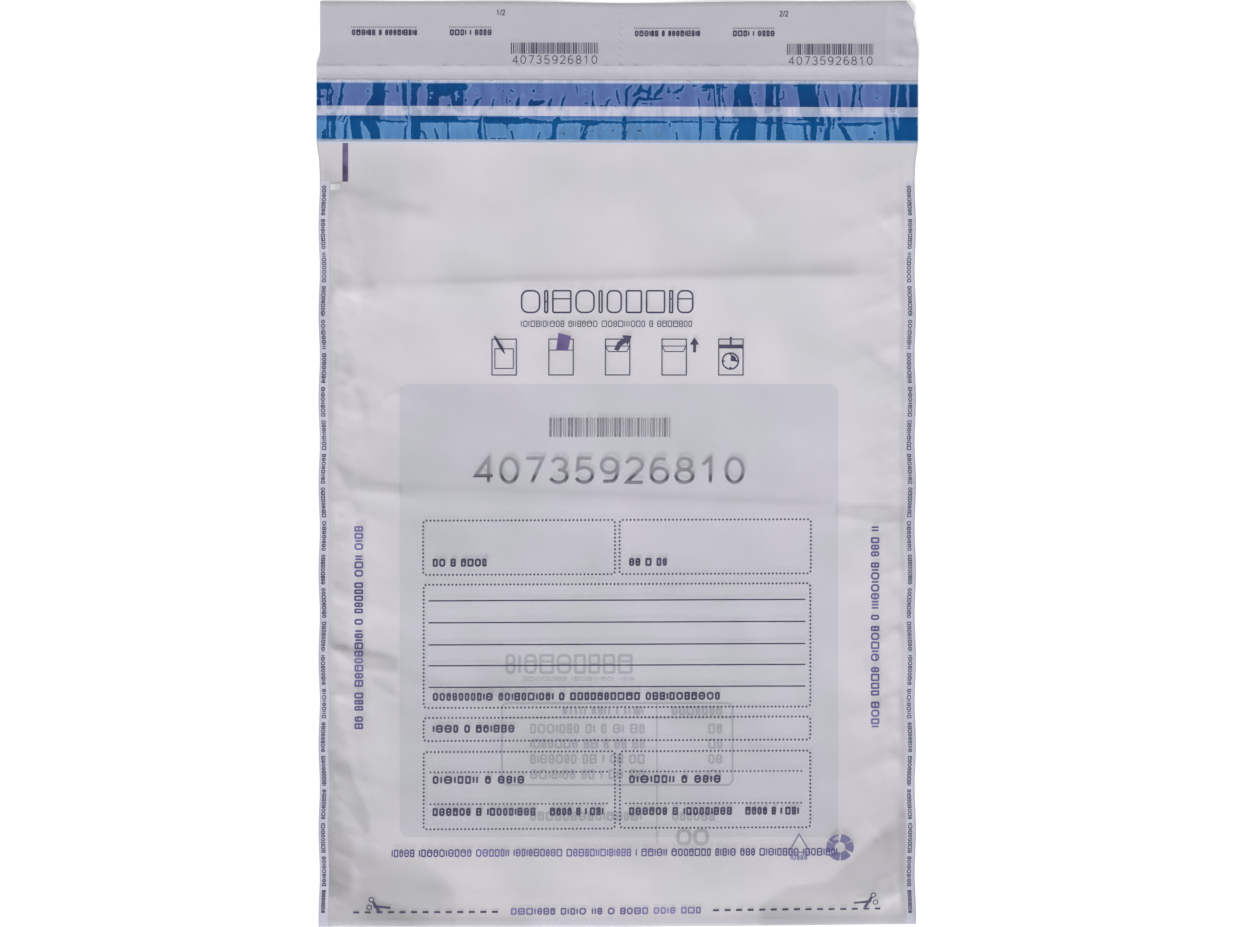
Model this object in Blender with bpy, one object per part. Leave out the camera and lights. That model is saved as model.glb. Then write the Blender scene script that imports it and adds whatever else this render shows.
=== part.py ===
"""Security envelope of translucent film, empty and lying on its back.

Metres, +Z up. The printed front looks up and +Y runs from the bottom fold to the receipts.
One web of film is folded at the bottom and welded along both sides. The back panel is the longer
one: above the mouth it carries the adhesive tape and its liner, and then two tear-off receipts.
"""

import math

import bmesh
import bpy

# Outline of the film
WIDTH = 0.328  # across the closing zone, where the film lies stretched flat
POUCH_HEIGHT = 0.470  # bottom fold to the perforation
RECEIPT_HEIGHT = 0.035  # perforation to the top edge
FILM = 0.00007  # one layer of film
WELD_WIDTH = 0.005  # each side weld
DRAW_IN = 0.0014  # how far the welds pull each side inwards below the mouth
DRAW_LENGTH = 0.012  # stretch below the mouth over which the sides draw in
EDGE_WAVE = 0.00035  # sideways waver of the welded edges
EDGE_WAVE_PITCH = 0.047
RECEIPT_SET_IN = 0.0019  # the receipts' left edge lies in from the closing zone's
RECEIPT_SET_RUN = 0.008  # height above the perforation over which it steps in
TOP_DIP = 0.001  # the cut top edge sags near its middle
TOP_DIP_PLACE = 0.010
TOP_DIP_RUN = 0.045
BOTTOM_SKEW = 0.0016  # the bottom fold's right end lies higher than its left end
BOTTOM_SKEW_RUN = 0.030
# The torn top right corner, as distances down from the top edge and in from the side
CHIP = ((0.0, 0.0066), (0.0071, 0.0020), (0.0120, 0.0030), (0.0148, 0.0020), (0.0260, 0.0))

# Closing zone
TAPE_DROP = 0.0093  # perforation to the tape's top edge
UPPER_BAND = 0.0131
WHITE_STRIPE = 0.0060
LOWER_BAND = 0.0118
TAPE = 0.0001  # thickness of the tape
LINER_ABOVE = 0.0022  # the liner stands past the tape's top edge
LINER_BELOW = 0.0014  # and past its bottom edge, over the mouth
LINER = 0.00006
MOUTH_DROP = 0.0005  # tape's bottom edge to the front panel's top edge
LAYER_GAP = 0.0003  # clearance between stacked layers

# Relief of the front panel, which holds a little air
PILLOW_RISE = 0.0017
PILLOW_RUN = 0.020  # distance from a weld or the fold over which the film rises
MOUTH_RUN = 0.045
FOLD_RISE = 0.0010  # ridge along a storage fold
FOLD_RUN_ABOVE = 0.011  # its slope towards the mouth
FOLD_RUN_BELOW = 0.006  # and the steeper one towards the bottom
STORAGE_FOLDS = ((0.3496, 0.3563), (0.2414, 0.2281))  # height at the left and right edge
PUCKER_RISE = 0.0009
PUCKER_RUN = 0.0045  # half width of one pucker along the weld
PUCKER_REACH = 0.024  # how far a pucker runs in from its weld
PUCKER_SLANT = 0.35  # how much it droops on its way in
LEFT_PUCKERS = (0.030, 0.055, 0.086, 0.130, 0.153, 0.184, 0.232, 0.250, 0.287, 0.306, 0.352, 0.404)
RIGHT_PUCKERS = (0.020, 0.063, 0.094, 0.125, 0.161, 0.196, 0.234, 0.262, 0.318, 0.345, 0.390, 0.416)

# Relief of the single film above the closing zone
RIDGE_RISE = 0.0006  # soft ridge between the liner and the perforation
RECEIPT_LIFT = 0.0007  # waves at the receipts' top edge
RECEIPT_WAVE = 0.109  # from one wave to the next
CORNER_LIFT = 0.0010  # the torn corner stands up
CORNER_RUN = 0.022

# Printed fields
FIELD_WIDTH = 0.240  # matt field for writing
FIELD_HEIGHT = 0.2485
FIELD_ABOVE_FOLD = 0.0476
FIELD_SHIFT = 0.0007  # sideways, to the right of the middle
RECEIPT_MARGIN = 0.019  # bare film to the right of the receipts' matt field

# Perforations
SLIT = 0.0012
SLIT_WIDTH = 0.00012
SLIT_PITCH = 0.0040
SLIT_CUT = 0.006  # height of the cutting blades

# Mesh steps
ROW_STEP = 0.0056
FIELD_STEPS = 8
MARGIN_STEPS = 4
RIDGE_STEPS = 4

TOP = (POUCH_HEIGHT + RECEIPT_HEIGHT) / 2
FOLD = -TOP
PERFORATION = FOLD + POUCH_HEIGHT
TAPE_TOP = PERFORATION - TAPE_DROP
STRIPE_TOP = TAPE_TOP - UPPER_BAND
STRIPE_BOTTOM = STRIPE_TOP - WHITE_STRIPE
TAPE_BOTTOM = STRIPE_BOTTOM - LOWER_BAND
MOUTH = TAPE_BOTTOM - MOUTH_DROP
FIELD_LEFT = FIELD_SHIFT - FIELD_WIDTH / 2
FIELD_RIGHT = FIELD_SHIFT + FIELD_WIDTH / 2
FIELD_BOTTOM = FOLD + FIELD_ABOVE_FOLD
FIELD_TOP = FIELD_BOTTOM + FIELD_HEIGHT
RECEIPT_RIGHT = WIDTH / 2 - RECEIPT_MARGIN
LINER_TOP = TAPE_TOP + LINER_ABOVE
LINER_BOTTOM = TAPE_BOTTOM - LINER_BELOW


def smooth(value):
    """0 to 1 with level ends."""
    value = min(max(value, 0.0), 1.0)
    return value * value * (3 - 2 * value)


def half_width(y):
    """Half the film's width at a height: full in the closing zone, drawn in along the welds."""
    below = smooth((MOUTH - y) / DRAW_LENGTH)
    wave = EDGE_WAVE * math.sin(2 * math.pi * y / EDGE_WAVE_PITCH)
    return WIDTH / 2 - below * (DRAW_IN + wave)


def chip(y):
    """How far the torn corner is in from the right edge at a height."""
    down = TOP - y
    for (start, depth), (end, next_depth) in zip(CHIP, CHIP[1:]):
        if start <= down <= end:
            return depth + (next_depth - depth) * (down - start) / (end - start)
    return 0.0


def left_edge(y):
    return RECEIPT_SET_IN * smooth((y - PERFORATION) / RECEIPT_SET_RUN) - half_width(y)


def right_edge(y):
    return half_width(y) - chip(y)


def bell(value):
    """1 at zero, falling off on both sides."""
    return math.exp(-value * value)


def fold_ridge(x, bottom):
    """Ridges left by the storage folds, steeper below than above."""
    rise = 0.0
    for left_height, right_height in STORAGE_FOLDS:
        above = bottom - (left_height + (right_height - left_height) * (x / WIDTH + 0.5))
        run = FOLD_RUN_ABOVE if above > 0 else FOLD_RUN_BELOW
        rise += FOLD_RISE * math.exp(-abs(above) / run)
    return rise


def puckers(inside, bottom, heights):
    """Puckers that run in from one weld, where inside is the distance from it."""
    reach = PUCKER_RISE * smooth(inside / PUCKER_RUN) * math.exp(-inside / PUCKER_REACH)
    droop = PUCKER_SLANT * inside
    return reach * sum(bell((bottom - height + droop) / PUCKER_RUN) for height in heights)


def front_rise(x, y):
    """Height of the pocket: from the back panel up to the front panel's underside."""
    left = x - (left_edge(y) + WELD_WIDTH)
    right = (right_edge(y) - WELD_WIDTH) - x
    bottom = y - FOLD
    from_weld = smooth(min(left, right) / PILLOW_RUN)
    rise = PILLOW_RISE * from_weld + fold_ridge(x, bottom) * from_weld
    rise += puckers(left, bottom, LEFT_PUCKERS) + puckers(right, bottom, RIGHT_PUCKERS)
    rise *= smooth(bottom / PILLOW_RUN)
    lip = LAYER_GAP * from_weld
    return lip + (rise - lip) * smooth((MOUTH - y) / MOUTH_RUN)


def flap_rise(x, y):
    """Height of the single film's underside, flat under the tape and wavy above it."""
    ridge_place = (y - LINER_TOP) / (PERFORATION - LINER_TOP)
    if ridge_place < 0:
        return 0.0
    if ridge_place < 1:
        return RIDGE_RISE * math.sin(math.pi * ridge_place) ** 2
    wave = (1 - math.cos(2 * math.pi * x / RECEIPT_WAVE)) / 2
    lift = RECEIPT_LIFT * wave * smooth((y - PERFORATION) / RECEIPT_HEIGHT)
    return lift + CORNER_LIFT * bell(math.hypot(WIDTH / 2 - x, TOP - y) / CORNER_RUN)


def edge_shift(x, y):
    """How far the skewed bottom fold and the sagging top edge move a point up or down."""
    skew = BOTTOM_SKEW * max(x, 0.0) / (WIDTH / 2) * smooth(1 - (y - FOLD) / BOTTOM_SKEW_RUN)
    dip = TOP_DIP * bell((x - TOP_DIP_PLACE) / TOP_DIP_RUN)
    return skew - dip * smooth((y - PERFORATION) / RECEIPT_HEIGHT)


def spread(start, end, steps):
    """Evenly spaced values from start up to, and without, end."""
    return [start + (end - start) * step / steps for step in range(steps)]


def column_places(y):
    """X of every column of the mesh at one height, from the left edge to the right."""
    left = left_edge(y)
    right = right_edge(y)
    places = [left]
    places += spread(left + WELD_WIDTH, FIELD_LEFT, MARGIN_STEPS)
    places += spread(FIELD_LEFT, FIELD_RIGHT, FIELD_STEPS)
    places += spread(FIELD_RIGHT, RECEIPT_RIGHT, MARGIN_STEPS // 2)
    places += spread(RECEIPT_RIGHT, right - WELD_WIDTH, MARGIN_STEPS // 2)
    places += [right - WELD_WIDTH, right]
    return places


def row_places():
    """Y of every row of the mesh, from the bottom fold to the top edge, with the mouth's index."""
    rows = []
    for start, end in ((FOLD, FIELD_BOTTOM), (FIELD_BOTTOM, FIELD_TOP), (FIELD_TOP, MOUTH)):
        rows += spread(start, end, max(1, round((end - start) / ROW_STEP)))
    mouth_row = len(rows)
    rows += [MOUTH]
    rows += spread(LINER_TOP, PERFORATION, RIDGE_STEPS)
    rows += [PERFORATION]
    rows += [TOP - down for down, _ in reversed(CHIP)]
    return rows, mouth_row


def material(name, color, roughness, alpha=1.0):
    """Principled material from a colour as it looks on screen, 0 to 255 a channel."""
    made = bpy.data.materials.new(name)
    made.use_nodes = True
    shader = made.node_tree.nodes["Principled BSDF"]
    linear = [(channel / 255) ** 2.2 for channel in color]
    shader.inputs["Base Color"].default_value = (*linear, 1.0)
    shader.inputs["Roughness"].default_value = roughness
    shader.inputs["Metallic"].default_value = 0.0
    shader.inputs["Alpha"].default_value = alpha
    made.diffuse_color = (*linear, alpha)
    return made


def finish_object(name, bm, materials):
    """Turns a bmesh into a named object in the scene."""
    bmesh.ops.recalc_face_normals(bm, faces=bm.faces)
    mesh = bpy.data.meshes.new(name)
    bm.to_mesh(mesh)
    bm.free()
    for entry in materials:
        mesh.materials.append(entry)
    made = bpy.data.objects.new(name, mesh)
    bpy.context.scene.collection.objects.link(made)
    return made


def quads(bm, lower, upper):
    """Joins two rows of vertices with quads, and gives back the new faces."""
    made = []
    for index in range(len(lower) - 1):
        corners = [lower[index], lower[index + 1], upper[index + 1], upper[index]]
        different = list(dict.fromkeys(corners))
        if len(different) > 2:
            made.append(bm.faces.new(different))
    return made


def paint_front(faces):
    """Gives the front faces their printed field: writing field, side weld or bare film."""
    for face in faces:
        centre = face.calc_center_median()
        in_field = FIELD_LEFT < centre.x < FIELD_RIGHT and FIELD_BOTTOM < centre.y < FIELD_TOP
        in_weld = abs(centre.x) > half_width(centre.y) - WELD_WIDTH
        face.material_index = 1 if in_field else 2 if in_weld else 0


def paint_flap(faces):
    """Gives the faces above the perforation the receipts' field, up to its right border."""
    for face in faces:
        centre = face.calc_center_median()
        if centre.y > PERFORATION and centre.x < RECEIPT_RIGHT:
            face.material_index = 1


def row_of(bm, y, height_of):
    """One row of vertices across the film, at the height that a function gives."""
    return [
        bm.verts.new((x, y + edge_shift(x, y), height_of(x, y))) for x in column_places(y)
    ]


def pocket_rows(bm, rows, mouth_floor):
    """Floor and roof of the pocket, which share their vertices along the fold and the welds."""
    floors = []
    roofs = []
    for index, y in enumerate(rows):
        places = column_places(y)[1:-1]
        floor = mouth_floor
        if index < len(rows) - 1:
            floor = [bm.verts.new((x, y + edge_shift(x, y), FILM)) for x in places]
        roof = list(floor)
        if index > 0:
            for column in range(1, len(places) - 1):
                x = places[column]
                height = FILM + front_rise(x, y)
                roof[column] = bm.verts.new((x, y + edge_shift(x, y), height))
        floors.append(floor)
        roofs.append(roof)
    return floors, roofs


def surface(bm, rows):
    """Faces between all the rows of one surface."""
    faces = []
    for lower, upper in zip(rows, rows[1:]):
        faces += quads(bm, lower, upper)
    return faces


def side_edge(bm, column, underside, front, flap):
    """Narrow outer face along one side, with the step at the mouth."""
    mouth_row = len(front) - 1
    lower = [row[column] for row in underside]
    upper = [row[column] for row in front]
    upper_flap = [row[column] for row in flap]
    quads(bm, lower[:mouth_row], upper[:mouth_row])
    quads(bm, lower[mouth_row:], upper_flap)
    step = [*lower[mouth_row - 1 : mouth_row + 1], upper_flap[0], *reversed(upper[mouth_row - 1 :])]
    bm.faces.new(step)


def pouch_mesh():
    """The folded and welded film as one closed surface with a pocket that opens at the mouth."""
    bm = bmesh.new()
    rows, mouth_row = row_places()
    body_rows = rows[: mouth_row + 1]
    flap_rows = rows[mouth_row:]
    underside = [row_of(bm, y, lambda x, y: 0.0) for y in rows[:mouth_row]]
    underside += [row_of(bm, y, flap_rise) for y in flap_rows]
    flap = [row_of(bm, y, lambda x, y: FILM + flap_rise(x, y)) for y in flap_rows]
    front = [row_of(bm, y, lambda x, y: 2 * FILM + front_rise(x, y)) for y in body_rows]
    pocket_floor, pocket_roof = pocket_rows(bm, body_rows, flap[0][1:-1])

    surface(bm, underside)
    paint_flap(surface(bm, flap))
    paint_front(surface(bm, front))
    surface(bm, pocket_floor)
    surface(bm, pocket_roof)

    quads(bm, underside[0], front[0])
    quads(bm, underside[-1], flap[-1])
    for column in (0, len(front[0]) - 1):
        side_edge(bm, column, underside, front, flap)

    # Cut edge of the front panel: solid at the two welds, one film thick between them
    mouth_roof = [flap[0][0], *pocket_roof[-1], flap[0][-1]]
    quads(bm, mouth_roof, front[-1])
    return bm


def slit_cutter():
    """One mesh with a small box for every perforation slit."""
    bm = bmesh.new()

    def add_slit(x, y, along_x):
        size_x = SLIT if along_x else SLIT_WIDTH
        size_y = SLIT_WIDTH if along_x else SLIT
        made = bmesh.ops.create_cube(bm, size=1.0)
        for vertex in made["verts"]:
            vertex.co.x = x + vertex.co.x * size_x
            vertex.co.y = y + vertex.co.y * size_y
            vertex.co.z = vertex.co.z * SLIT_CUT

    across = int((WIDTH - SLIT_PITCH) / SLIT_PITCH)
    for index in range(across):
        add_slit((index - (across - 1) / 2) * SLIT_PITCH, PERFORATION, True)
    upward = int(RECEIPT_HEIGHT / SLIT_PITCH)
    for index in range(upward):
        add_slit(SLIT_PITCH / 2, PERFORATION + (index + 0.5) * SLIT_PITCH, False)
    cutter = finish_object("perforation_cutter", bm, [])
    cutter.hide_render = True
    cutter.display_type = "WIRE"
    return cutter


def make_pouch():
    film = material("pouch_film", (207, 205, 212), 0.38, 0.9)
    matt = material("matt_field", (193, 192, 204), 0.6, 0.95)
    weld = material("welded_film", (184, 186, 200), 0.45, 0.95)
    pouch = finish_object("film_pouch", pouch_mesh(), [film, matt, weld])
    pouch.data.shade_smooth()
    pouch.data.set_sharp_from_angle(angle=math.radians(35))
    cut = pouch.modifiers.new("perforation", "BOOLEAN")
    cut.operation = "DIFFERENCE"
    cut.solver = "EXACT"
    cut.object = slit_cutter()


def strip(name, borders, base, thickness, materials, bands):
    """A flat strip across the full width: borders from top to bottom, one band between two."""
    bm = bmesh.new()
    rows = []
    for y in borders:
        rows.append(
            [
                bm.verts.new((left_edge(y), y, base)),
                bm.verts.new((right_edge(y), y, base)),
                bm.verts.new((right_edge(y), y, base + thickness)),
                bm.verts.new((left_edge(y), y, base + thickness)),
            ]
        )
    for (upper, lower), band in zip(zip(rows, rows[1:]), bands):
        for index in range(4):
            following = (index + 1) % 4
            face = bm.faces.new((upper[index], upper[following], lower[following], lower[index]))
            face.material_index = band
    bm.faces.new(rows[0])
    bm.faces.new(rows[-1])
    return finish_object(name, bm, materials)


def make_tape():
    blue = material("tape_blue", (60, 105, 170), 0.3)
    white = material("tape_white", (206, 209, 222), 0.35)
    borders = (TAPE_TOP, STRIPE_TOP, STRIPE_BOTTOM, TAPE_BOTTOM)
    strip("closure_tape", borders, FILM + LAYER_GAP, TAPE, [blue, white], (0, 1, 0))


def make_liner():
    clear = material("liner_film", (214, 222, 238), 0.25, 0.35)
    base = FILM + LAYER_GAP + TAPE + LAYER_GAP
    strip("release_liner", (LINER_TOP, LINER_BOTTOM), base, LINER, [clear], (0,))


def main():
    for existing in list(bpy.data.objects):
        bpy.data.objects.remove(existing, do_unlink=True)
    make_pouch()
    make_tape()
    make_liner()


main()
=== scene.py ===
# Looks of the security envelope: translucent film with its creases, the printed form, the tape
# and its liner. Places on the sheet are in millimetres, across from the left edge and down from
# the top edge. Everything else is in metres.
import math
import random

import bmesh
import bpy
import numpy as np
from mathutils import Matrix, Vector
from mathutils.bvhtree import BVHTree


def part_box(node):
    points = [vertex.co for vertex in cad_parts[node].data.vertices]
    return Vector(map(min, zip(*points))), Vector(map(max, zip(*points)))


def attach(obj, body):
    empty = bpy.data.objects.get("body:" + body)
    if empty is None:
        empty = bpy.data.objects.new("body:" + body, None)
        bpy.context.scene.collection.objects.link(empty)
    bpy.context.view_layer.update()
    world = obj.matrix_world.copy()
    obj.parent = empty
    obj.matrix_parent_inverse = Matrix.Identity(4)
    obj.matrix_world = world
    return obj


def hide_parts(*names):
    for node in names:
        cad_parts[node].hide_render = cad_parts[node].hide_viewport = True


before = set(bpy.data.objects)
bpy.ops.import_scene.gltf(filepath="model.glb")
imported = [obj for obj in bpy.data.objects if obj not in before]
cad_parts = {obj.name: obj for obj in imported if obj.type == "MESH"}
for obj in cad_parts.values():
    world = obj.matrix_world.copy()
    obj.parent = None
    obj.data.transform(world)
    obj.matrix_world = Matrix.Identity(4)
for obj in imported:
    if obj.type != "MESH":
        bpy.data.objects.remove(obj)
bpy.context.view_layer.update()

FILM_LOW, FILM_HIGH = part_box("film_pouch")
TAPE_LOW, TAPE_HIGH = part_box("closure_tape")
LINER_LOW, LINER_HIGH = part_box("release_liner")

MM = 0.001
FAR = 1e9
TINY = 1e-9
WIDTH = FILM_HIGH.x - FILM_LOW.x
TOP = FILM_HIGH.y
FOLD = FILM_LOW.y
SHEET_WIDTH = WIDTH / MM

# The places across and down were read from the photo at a slightly larger scale
READING_SCALE = 0.9973
READING_LEFT = 0.7
READING_TOP = 0.25

# Construction of the film, as in the part
FILM = 0.00007
RECEIPT_HEIGHT = 0.035
PERFORATION = TOP - RECEIPT_HEIGHT
MOUTH = TAPE_LOW.y - 0.0005
WELD_WIDTH = 0.005
DRAW_IN = 0.0014
DRAW_LENGTH = 0.012
EDGE_WAVE = 0.00035
EDGE_WAVE_PITCH = 0.047
RECEIPT_SET_IN = 0.0019
RECEIPT_SET_RUN = 0.008
TOP_DIP = 0.001
TOP_DIP_PLACE = 0.010
TOP_DIP_RUN = 0.045
BOTTOM_SKEW = 0.0016
BOTTOM_SKEW_RUN = 0.030
CHIP_DOWN = (0.0, 0.0071, 0.0120, 0.0148, 0.0260)
CHIP_DEPTH = (0.0066, 0.0020, 0.0030, 0.0020, 0.0)
LAYER_GAP = 0.0003
PILLOW_RISE = 0.0017
PILLOW_RUN = 0.020
MOUTH_RUN = 0.045
FOLD_RISE = 0.0010
FOLD_RUN_ABOVE = 0.011
FOLD_RUN_BELOW = 0.006
STORAGE_FOLDS = ((0.3496, 0.3563), (0.2414, 0.2281))
PUCKER_RISE = 0.0009
PUCKER_RUN = 0.0045
PUCKER_REACH = 0.024
PUCKER_SLANT = 0.35
LEFT_PUCKERS = (0.030, 0.055, 0.086, 0.130, 0.153, 0.184, 0.232, 0.250, 0.287, 0.306, 0.352, 0.404)
RIGHT_PUCKERS = (0.020, 0.063, 0.094, 0.125, 0.161, 0.196, 0.234, 0.262, 0.318, 0.345, 0.390, 0.416)
RECEIPT_LIFT = 0.0007
RECEIPT_WAVE = 0.109
CORNER_LIFT = 0.0010
CORNER_RUN = 0.022
TAPE_DROOP = 0.0010  # the tape runs a little downhill to the right
DROOP_FOOT = 0.025  # the slope begins so far below the liner
DROOP_RUN = 0.020
DROOP_END_RUN = 0.005
SLIT = 0.0012
SLIT_WIDTH = 0.00005
SLIT_PITCH = 0.0040
SPLIT = SLIT_PITCH / 2  # the upright perforation between the receipts

# Creases of the front panel: points on the sheet, rise, and the slope's run above and below
CREASES = (
    (((5.5, 157), (12, 154.5), (22, 151.5), (31, 152)), 1.3, 5, 9),
    (((50, 155.5), (75, 154.6), (90, 153.5), (116, 152.8), (176, 151)), 0.8, 5, 14),
    (((150, 151.6), (176, 151), (229, 149.6), (322, 149.2)), 0.95, 6, 18),
    (((53, 161.8), (75, 160.6), (100, 160.6)), 0.32, 2, 4),
    (((212, 82), (226, 104), (243, 132)), 1.01, 9, 9),
    (((5, 101), (24, 107), (48, 104)), 1.3, 9, 12),
    (((6, 249), (11, 258), (14, 266), (17, 268), (46, 269.5), (80, 269)), 0.9, 5, 9),
    (((80, 269.4), (175, 273), (250, 275.5), (285, 276.5)), 0.5, 5, 18),
    (((284, 274.6), (303, 274.8), (325, 274.9)), -0.55, 2, 8),
    (((286, 283), (303, 285.5), (325, 284)), 0.35, 5, 6),
    (((8, 195), (16, 194), (21, 197)), 0.43, 2, 2.5),
    (((8, 211), (17, 206), (16, 201)), 0.72, 2.5, 2.5),
    (((21, 212), (25, 219), (27, 228)), 0.8, 3, 3),
    (((34, 219), (39, 215.5), (46, 212.5)), 0.58, 2.5, 2.5),
    (((6, 271), (15, 272), (24, 277)), 0.58, 3, 3),
    (((6, 281), (14, 283), (23, 272)), 0.51, 2, 2),
    (((7, 353), (24, 357), (44, 361)), 1.01, 5, 4),
    (((7, 376), (27, 376.5)), 0.51, 2.5, 3),
    (((30, 370), (37, 377), (45, 381)), 0.72, 4, 4),
    (((6, 418), (14, 424), (12, 434)), 0.72, 3, 3),
    (((7, 447), (15, 443), (17, 452)), 0.72, 3, 3),
    (((6, 463), (18, 468), (26, 479)), 0.8, 3.5, 3.5),
    (((323, 80), (317, 88), (316, 99)), 0.72, 3.5, 3.5),
    (((321, 113), (312, 118), (308, 122)), 0.72, 3.5, 3.5),
    (((289, 186), (300, 194), (312, 204), (321, 207)), 0.45, 4, 5),
    (((321, 341), (311, 346), (308, 354)), 0.72, 3.5, 3),
    (((321, 378), (309, 383), (301, 390)), 0.72, 3.5, 3),
    (((321, 420), (315, 413), (313, 408)), 0.65, 2.5, 3),
    (((322, 440), (312, 449), (303, 457)), 1.16, 5, 5),
    (((322, 474), (308, 480), (292, 496)), 1.3, 7, 7),
)
CREASE_TAPER = 0.25
CREASE_START = 0.005  # creases rise from the welds over this run
RIPPLE_RISE = 0.00035  # shallow waves over the whole panel
RIPPLE_PITCHES = (0.030, 0.110)
CRUMPLE_RISE = 0.0012  # sharp crumples beside the welds
CRUMPLE_REACH = 0.016
CRUMPLE_START = 0.004
CRUMPLE_PITCHES = (0.016, 0.040)
CRUMPLE_FINE_PITCHES = (0.006, 0.014)
CRUMPLE_FINE_SHARE = 0.4
BACK_HOLLOW = 0.0001  # the back panel stands off the surface here and there
HOLLOW_PITCHES = (0.030, 0.090)
# Valley of the flap: places from the perforation (0) down to the liner (1), and millimetres of rise
VALLEY_PLACES = (-1.9, 0.0, 0.62, 1.0, 1.4)
VALLEY_RISES = (0.0, 1.1, 0.02, 0.2, 0.2)
FLAP_DENTS = 0.00012
DENT_PITCHES = (0.006, 0.022)
DENT_END = 1.3  # place in the valley where the dents end
DENT_FADE = 0.3
RECEIPT_DENTS = 0.5  # share of the dents that the receipts have
RIDGE_CREASES = 0.00022  # small upright creases just above the liner
RIDGE_PITCHES = (0.004, 0.014)
RIDGE_STRETCH = 0.3
RIDGE_PLACE = 0.7
RIDGE_REACH = 0.45
END_CRUMPLE = 0.0009  # crushed right end of the receipts
END_CRUMPLE_START = 0.147
END_CRUMPLE_RUN = 0.008
END_PITCHES = (0.006, 0.018)
RECEIPT_START_RUN = 0.004  # waves and crumples of the receipts begin over this run

# Printed layers and looks: fields and steps in millimetres on the sheet, layers in metres
WRITING_FIELD = (44.9, 209.0, 284.5, 456.7)
WRITING_RADIUS = 5.0
RECEIPT_FIELD = (-5.0, -5.0, 311.3, 35.0)
INK_LIFT = 0.00004
SIGN_DROP = 0.00003
INK = 0.00002
INK_STEP = 1.6
MITRE_LIMIT = 0.5  # least cosine by which a stroke is widened at its corners
HEXAGON = ((-0.87, 0.5), (0.0, 1.0), (0.87, 0.5))  # half of a dot: (down, across) by its radius
MASK_EDGE = 0.12
FILM_ROUGHNESS = 0.38
FIELD_ROUGHNESS = 0.6
FILM_ALPHA = 0.50
FRONT_ALPHA = 0.40  # the back print shows through the front panel
CLOUD_STOPS = (0.35, 0.65)
MIX_COLORS = (6, 7)  # colour inputs of a mix node
FILM_CLOUDS = 14.0  # waves of uneven tone for each metre, as for every noise below
FILM_WRINKLES = 90.0
WRINKLE_DETAIL = 4.0
WRINKLE_STRENGTH = 0.35
WRINKLE_DEPTH = 0.0004
INK_ROUGHNESS = 0.5
INK_GRAIN = 900.0
INK_GRAIN_STRENGTH = 0.1
INK_GRAIN_DEPTH = 0.00005
NUMBER_GRAIN = 260.0

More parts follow.
